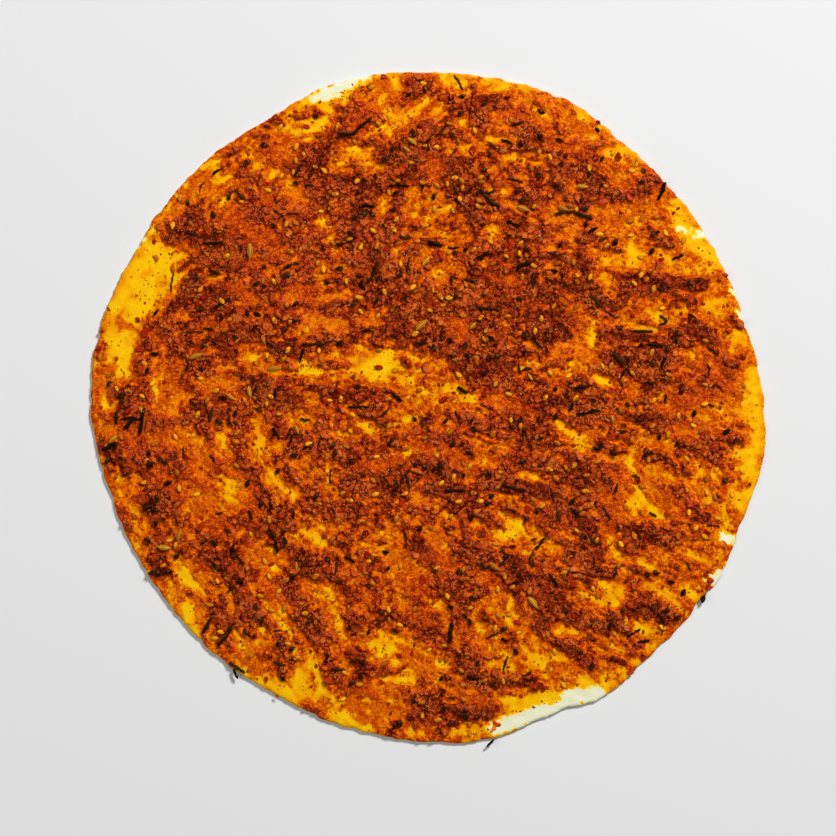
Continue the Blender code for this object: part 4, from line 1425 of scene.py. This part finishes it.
LAID = list(NIGELLA) + list(SESAME) + middles(FENNEL) + middles(LEAVES)
LAID += middles([stalk[1:] for stalk in STALKS]) + [skin[:2] for skin in SKINS]
ON_PASTE = smooth(0.3, 0.7, AMOUNT) * smooth(3, 6, INSIDE)
ON_BREAD = (0.35 + 0.65 * ON_PASTE) * smooth(2, 4, INSIDE)
WITH_PASTE = ON_BREAD * smooth(0, 0.4, AMOUNT + 0.1)
MORE_NIGELLA = strewn(50, 81, ON_PASTE, LAID, 3.0)
MORE_SESAME = strewn(330, 82, ON_BREAD, LAID + MORE_NIGELLA, 2.6)
MORE_SKINS = strewn(300, 83, WITH_PASTE, LAID + MORE_NIGELLA + MORE_SESAME, 2.6)
print("strewn beside", len(LAID), "laid")

# %% [markdown]
# ## Laying shapes on chosen points
#
# A second small tree lays a shape on each vertex of a mesh instead of scattering its own points.
# The vertices carry how far to turn, how big to be and which shape to pick, so the same tree
# serves every kind of seed. A third sweeps a ring along a line, which makes the stalks.


# %% The laying tree
LAYING_INPUTS = (
    ("Places", "NodeSocketGeometry", None),
    ("Shapes", "NodeSocketCollection", None),
    ("Material", "NodeSocketMaterial", None),
)


def laying_tree():
    tree, given = opened("lay", LAYING_INPUTS)
    add = adder(tree)

    points = add("GeometryNodeMeshToPoints", Mesh=given["Places"])
    turn = add("FunctionNodeEulerToRotation", Euler=carried(add, "turn", "FLOAT_VECTOR"))
    pick, size = carried(add, "pick", "INT"), carried(add, "size")
    laid = placed(add, points, given["Shapes"], pick, turn, size)
    return closed(tree, laid, given["Material"])


LAYING = laying_tree()


def point_mesh(places, fields):
    """A mesh of bare vertices in metres, each with its fields."""
    mesh = bpy.data.meshes.new("places")
    mesh.from_pydata([(x * MM, y * MM, z * MM) for x, y, z in places], [], [])
    for label, kind, values in fields:
        store = "vector" if kind == "FLOAT_VECTOR" else "value"
        flat = np.asarray(values).ravel()
        mesh.attributes.new(label, kind, "POINT").data.foreach_set(store, flat)
    return mesh


def lay(name, places, shapes, material, seed, lift, smallest=0.85, largest=1.15, tilt=0.25):
    """Lays a shape that far above each place: (x, y), with its turn and size where known."""
    rng = np.random.default_rng(seed)
    spots, turns, sizes = [], [], []
    for place in places:
        x, y, turn, size = (*place, None, None)[:4]
        spots.append((x, y, float(at(TOP, x, y)) + lift))
        lean = rng.uniform(-tilt, tilt, 2)
        free = rng.uniform(0, math.tau), rng.uniform(smallest, largest)
        turns.append((lean[0], lean[1], free[0] if turn is None else turn))
        sizes.append(free[1] if size is None else size)
    fields = (
        ("turn", "FLOAT_VECTOR", np.array(turns, np.float32)),
        ("size", "FLOAT", np.array(sizes, np.float32)),
        ("pick", "INT", rng.integers(0, ANY_SHAPE, len(spots)).astype(np.int32)),
        ("tone", "FLOAT", rng.random(len(spots)).astype(np.float32)),
        ("amount", "FLOAT", [float(at(AMOUNT, x, y)) for x, y, z in spots]),
    )
    mesh = point_mesh(spots, fields)
    return run_tree(LAYING, name, mesh, {"Shapes": shapes, "Material": material})


# %% [markdown]
# ## Seeds
#
# Sesame is a flat drop, pale where it is bare and rusty where paste clings to its edge. Nigella
# is a black chip with three or four faces, wrinkled and a little shiny. Fennel is a ribbed
# spindle. Each is a ring-by-ring solid: a profile gives the half width at each step along its
# length, and the rings are flattened, bent or ribbed.


# %% Seed shapes
def ringed_mesh(name, profile, length, width, height, sides, ribs=0, bend=0, rough=0, seed=0):
    """A closed solid along X from shares of width at even steps; its rim value is high low down."""
    rng = np.random.default_rng(seed)
    shape = bmesh.new()
    rings, rims = [], []
    steps = len(profile)
    for i, share in enumerate(profile):
        along = (i + 0.5) / steps - 0.5
        ring = []
        for j in range(sides):
            turn = math.tau * j / sides
            swell = share * (1 + ribs * (j % 2 - 0.5)) * (1 + rough * rng.standard_normal())
            y = math.cos(turn) * swell * width / 2 + bend * (0.25 - along**2)
            ring.append(shape.verts.new((along * length, y, math.sin(turn) * swell * height / 2)))
            rims.append(1.0 if ribs and j % 2 == 0 else 0.5 - 0.5 * math.sin(turn))
        rings.append(ring)
    for low, high in zip(rings, rings[1:]):
        for j in range(sides):
            k = (j + 1) % sides
            shape.faces.new((low[j], low[k], high[k], high[j]))
    for ring, end in ((rings[0], -0.5), (rings[-1], 0.5)):
        tip = shape.verts.new((end * length, 0, 0))
        rims.append(0.7)
        for j in range(sides):
            shape.faces.new((ring[j], ring[(j + 1) % sides], tip))
    return shape_mesh(name, shape, rims, 60)


SESAME_PROFILE = (0.42, 0.78, 0.98, 1.0, 0.85, 0.52)
NIGELLA_PROFILE = (0.5, 0.9, 1.0, 0.72, 0.35)
FENNEL_PROFILE = (0.3, 0.72, 0.95, 1.0, 0.98, 0.85, 0.5, 0.22)
sesame_shapes = shape_collection(
    "sesame",
    [ringed_mesh("sesame", SESAME_PROFILE, 3.1, 1.9, 0.95, 8, rough=0.03, seed=i)
     for i in range(4)],
)  # fmt: skip
nigella_shapes = shape_collection(
    "nigella",
    [ringed_mesh("nigella", NIGELLA_PROFILE, 3.1, 1.85, 1.3, 5, bend=0.4, rough=0.13, seed=10 + i)
     for i in range(6)],
)  # fmt: skip
fennel_shapes = shape_collection(
    "fennel",
    [ringed_mesh("fennel", FENNEL_PROFILE, 1.0, 0.34, 0.26, 12, ribs=0.22, bend=b)
     for b in (0.12, -0.1, 0.2)],
)  # fmt: skip


# %% Seed materials
def seed_material(name, pale, dark, rough, gloss, crust=0.5, blotch=1.2, edge=rgb(104, 28, 2)):
    """Pale on top and, as painted shade, dark in the grooves and underneath, with paste clinging
    here and there.
    """
    s = Shader(name)
    tone = s.attribute("tone") * 0.6 + s.noise(blotch, 3) * 0.4
    colour = s.mix(tone.between(0.15, 0.85), dark, pale)
    clinging = s.noise(1.5, 3).between(0.44, 0.62) * s.attribute("amount").between(0.2, 0.9)
    colour = s.mix(clinging * crust, colour, rgb(170, 58, 10))
    # painted shade low down on the seed and in its grooves; in fennel's grooves partly its own
    # stripes
    colour = s.mix(s.attribute("rim").between(0.06, 0.6) * 0.85, colour, edge)
    return oily(s, colour, rough, gloss, Normal=s.bump(s.noise(0.5, 3), 0.12, 0.6))


sesame_paint = seed_material("sesame", rgb(244, 162, 24), rgb(164, 70, 10), 0.45, 0.12, 0.85)
nigella_paint = seed_material("nigella", rgb(22, 15, 12), rgb(5, 3, 2), 0.4, 0.2, 0.1)
fennel_paint = seed_material(
    "fennel", rgb(244, 186, 52), rgb(196, 120, 18), 0.5, 0.1, 0.2, edge=rgb(148, 82, 12)
)


# %% Lay the seeds
def along(lines):
    """Places, turns and sizes for unit-long shapes that span these lines."""
    return [
        (*middle, math.atan2(b[1] - a[1], b[0] - a[0]), math.dist(a, b))
        for middle, (a, b, *rest) in zip(middles(lines), lines)
    ]


nigella = lay(
    "nigella_seeds", list(NIGELLA) + MORE_NIGELLA, nigella_shapes, nigella_paint,
    seed=91, lift=0.45, smallest=0.9, largest=1.3, tilt=0.4,
)  # fmt: skip
sesame = lay(
    "sesame_seeds", list(SESAME) + MORE_SESAME, sesame_shapes, sesame_paint,
    seed=92, lift=0.3, tilt=0.3,
)  # fmt: skip
fennel = lay(
    "fennel_seeds", along(FENNEL), fennel_shapes, fennel_paint, seed=93, lift=0.6, tilt=0.05
)

# %% [markdown]
# ## Stalks and leaves
#
# Dried thyme and rosemary: black-brown stalks, many of them bent or split, and a few rolled
# leaves. A stalk is a polyline through its bends. The sweeping tree gives it its own radius at
# every point and sweeps a five-sided ring along it, which is round enough for something a
# millimetre thick.


# %% The sweeping tree
SWEEPING_INPUTS = (
    ("Lines", "NodeSocketGeometry", None),
    ("Sides", "NodeSocketInt", 5),
    ("Material", "NodeSocketMaterial", None),
)


def sweeping_tree():
    tree, given = opened("sweep", SWEEPING_INPUTS)
    add = adder(tree)
    tube = add(
        "GeometryNodeCurveToMesh",
        Curve=add("GeometryNodeMeshToCurve", Mesh=given["Lines"]),
        Profile_Curve=add("GeometryNodeCurvePrimitiveCircle", Resolution=given["Sides"], Radius=1),
        Scale=carried(add, "width"),
        Fill_Caps=True,
    )
    return closed(tree, tube, given["Material"])


SWEEPING = sweeping_tree()


# %% Stalks
CROOKED = 0.16  # how far a stalk's points stray from its line


def crooked(points, rng, step=0.9):
    """The line through these points in short steps, a little out of true."""
    line = [np.array(points[0], float)]
    for a, b in zip(points, points[1:]):
        pieces = max(2, round(math.dist(a, b) / step))
        for i in range(1, pieces + 1):
            line.append(np.array(a) + (np.array(b) - a) * i / pieces)
    return [place + rng.normal(0, CROOKED, 2) for place in line]


def stalk_lines(stalks, seed):
    """One mesh of polylines, each point with half its thickness and its stalk's tone."""
    rng = np.random.default_rng(seed)
    places, edges, widths, tones = [], [], [], []
    for thickness, *points in stalks:
        line = crooked(points, rng)
        heights = at(TOP, *np.array(line).T)
        level = np.linspace(heights[0], heights[-1], len(line))
        tone = rng.random()
        for i, (place, z) in enumerate(zip(line, np.maximum(heights, level))):
            if i:
                edges.append((len(places) - 1, len(places)))
            taper = 0.5 if i in (0, len(line) - 1) else 0.85 + 0.6 * rng.random()
            places.append((place[0] * MM, place[1] * MM, (z + 0.36 * thickness) * MM))
            widths.append(thickness / 2 * taper * MM)
            tones.append(tone)
    mesh = bpy.data.meshes.new("stalks")
    mesh.from_pydata(places, edges, [])
    for label, values in (("width", widths), ("tone", tones)):
        mesh.attributes.new(label, "FLOAT", "POINT").data.foreach_set("value", values)
    return mesh


def stray_stalks(count, seed):
    rng = np.random.default_rng(seed)
    stalks = []
    for x, y in strewn(count, seed, ON_BREAD, LAID, 4.0):
        turn = rng.uniform(0, math.tau)
        reach = rng.uniform(1.6, 3.6)
        dx, dy = math.cos(turn) * reach, math.sin(turn) * reach
        bend = rng.normal(0, 0.5, 2)
        middle = (x + bend[0], y + bend[1])
        stalks.append((rng.uniform(0.45, 1.0), (x - dx, y - dy), middle, (x + dx, y + dy)))
    return stalks


def herb_material(name, pale, dark):
    s = Shader(name)
    tone = s.attribute("tone") * 0.5 + s.noise(0.9, 3) * 0.6 - 0.05
    colour = s.mix(tone.between(0.25, 0.85), dark, pale)
    return oily(s, colour, 0.5, 0.1, Normal=s.bump(s.noise(0.45, 3), 0.15, 0.8))


stalk_paint = herb_material("stalk", rgb(60, 36, 20), rgb(8, 4, 3))
lines = stalk_lines(list(STALKS) + stray_stalks(70, 84), 94)
stalks = run_tree(SWEEPING, "herb_stalks", lines, {"Sides": 5, "Material": stalk_paint})

# %% Leaves and skins
LEAF_PROFILE = (0.25, 0.6, 0.9, 1.0, 0.9, 0.6, 0.28)
leaf_shapes = shape_collection(
    "leaf",
    [ringed_mesh("leaf", LEAF_PROFILE, 1.0, 0.28, 0.12, 8, ribs=0.1, bend=b, rough=0.07, seed=20)
     for b in (0.15, -0.2, 0.3)],
)  # fmt: skip
leaf_paint = herb_material("leaf", rgb(70, 38, 16), rgb(12, 6, 3))
leaves = lay(
    "herb_leaves", along(LEAVES), leaf_shapes, leaf_paint, seed=95, lift=0.5, tilt=0.1
)

skin_shapes = shape_collection("skin", [flake_mesh(300 + i, 1.0, 0.2, 8, 0.7) for i in range(6)])


def skin_material():
    s = Shader("pepper skin")
    tone = s.attribute("tone") * 0.6 + s.noise(1.6, 3) * 0.4
    colour = s.ramp(
        tone,
        (0.15, rgb(130, 14, 4)),
        (0.45, rgb(162, 32, 10)),
        (0.75, rgb(184, 52, 24)),
        (0.95, rgb(198, 80, 50)),
    )
    # painted shade round the skin's outer ring
    colour = s.mix(s.attribute("rim").between(0.3, 1.0) * 0.7, colour, rgb(88, 10, 0))
    return oily(s, colour, 0.35, 0.15, Normal=s.bump(s.noise(1.2, 3), 0.2, 0.5))


LARGE_SKINS = [(x, y, None, width) for x, y, width in SKINS]
skins = lay(
    "pepper_skins", LARGE_SKINS + MORE_SKINS, skin_shapes, skin_material(),
    seed=96, lift=0.15, smallest=1.0, largest=3.0, tilt=0.2,
)  # fmt: skip

# %% [markdown]
# ## Specks on the bare dough
#
# Wherever the dough shows, it is peppered with specks a few tenths of a millimetre across and
# with odd crumbs that fell off the spoon. They are thickest next to the paste and missing on the
# dry lips. The same scatter tree lays them, on the dough this time.

# %% Specks and strays
speck_shapes = shape_collection(
    "speck", [flake_mesh(400 + i, 0.8, 0.1, 4, 0.5) for i in range(5)]
)


def speck_material():
    s = Shader("pepper specks")
    tone = s.attribute("tone")
    colour = s.ramp(
        tone,
        (0.10, rgb(134, 20, 0)),
        (0.45, rgb(164, 40, 2)),
        (0.75, rgb(190, 66, 4)),
        (1.00, rgb(210, 96, 6)),
    )
    return oily(s, colour, 0.5, 0.05)


specks = scatter(
    "pepper_specks", dough, speck_shapes, speck_material(),
    Where="specks", Spacing=0.7 * MM, Per_square_metre=2.2e6, Smallest=0.45, Largest=1.9,
    Favour_small=2.4, Tilt=0.4, Lift=0.0, Seed=5,
)  # fmt: skip
strays = scatter(
    "stray_crumbs", dough, crumb_shapes, flake_paint,
    Where="strays", Spacing=1.2 * MM, Per_square_metre=1.4e6, Smallest=0.45, Largest=1.9,
    Favour_small=1.8, Tilt=0.3, Lift=0.0, Seed=6,
)  # fmt: skip

# %% [markdown]
# ## Riding, floor, light and camera
#
# Nothing on the bread moves by itself, so every piece rides on the one body. The two solids give
# way to the pieces that stand for them. The bread lies on a plain pale floor under soft light
# from the upper right, and the camera looks straight down on it.

# %% Ride on the frame
PIECES = [(dough, "oiled_dough")] + [
    (piece, "pepper_spread")
    for piece in (
        paste, flakes, crumbs, skins, specks, strays, sesame, nigella, fennel, stalks, leaves,
    )
]  # fmt: skip
for piece, slot in PIECES:
    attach(piece, "root")
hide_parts("dough")
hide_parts("pepper_spread")
print(len(PIECES), "pieces ride on root")

# %% Floor
FLOOR_HALF = 3  # metres
FLOOR_GREY = 0.72
floor_mesh = bpy.data.meshes.new("floor")
floor_sheet = bmesh.new()
bmesh.ops.create_grid(floor_sheet, x_segments=1, y_segments=1, size=FLOOR_HALF)
floor_sheet.to_mesh(floor_mesh)
floor_sheet.free()
floor = bpy.data.objects.new("floor", floor_mesh)
bpy.context.scene.collection.objects.link(floor)
floor_paint = Shader("floor")
pale = (FLOOR_GREY, FLOOR_GREY, FLOOR_GREY, 1)
floor_mesh.materials.append(floor_paint.finish(Base_Color=pale, Roughness=0.9))


# %% Light and camera
def area_light(name, place, width, watts):
    """A round lamp that looks at the bread from a place in metres."""
    light = bpy.data.lights.new(name, "AREA")
    light.shape = "DISK"
    light.size = width
    light.energy = watts
    lamp = bpy.data.objects.new(name, light)
    lamp.location = place
    lamp.rotation_euler = (-Vector(place)).to_track_quat("-Z", "Y").to_euler()
    bpy.context.scene.collection.objects.link(lamp)


area_light("key", (1.0, 1.3, 1.6), width=0.5, watts=58)
area_light("fill", (-1.0, -0.2, 1.2), width=1.2, watts=6)
world = bpy.data.worlds.new("studio")
world.use_nodes = True
sky = world.node_tree.nodes["Background"].inputs
sky["Color"].default_value = (1, 1, 1, 1)
sky["Strength"].default_value = 0.17
bpy.context.scene.world = world
bpy.context.scene.view_settings.view_transform = "Standard"

CAMERA_HEIGHT = 1.6  # above the spread
SPREAD_LEVEL = 4 * MM
FRAME_WIDTH = 342.6 * MM  # how much of the scene the picture spans there
AIM = (-4.1 * MM, -4.3 * MM)  # what lies in the middle of the picture
SENSOR = 36
camera = bpy.data.cameras.new("overhead")
camera.sensor_width = SENSOR
camera.lens = SENSOR * CAMERA_HEIGHT / FRAME_WIDTH
eye = bpy.data.objects.new("overhead", camera)  # unturned, a camera looks straight down
eye.location = (*AIM, CAMERA_HEIGHT + SPREAD_LEVEL)
bpy.context.scene.collection.objects.link(eye)
bpy.context.scene.camera = eye
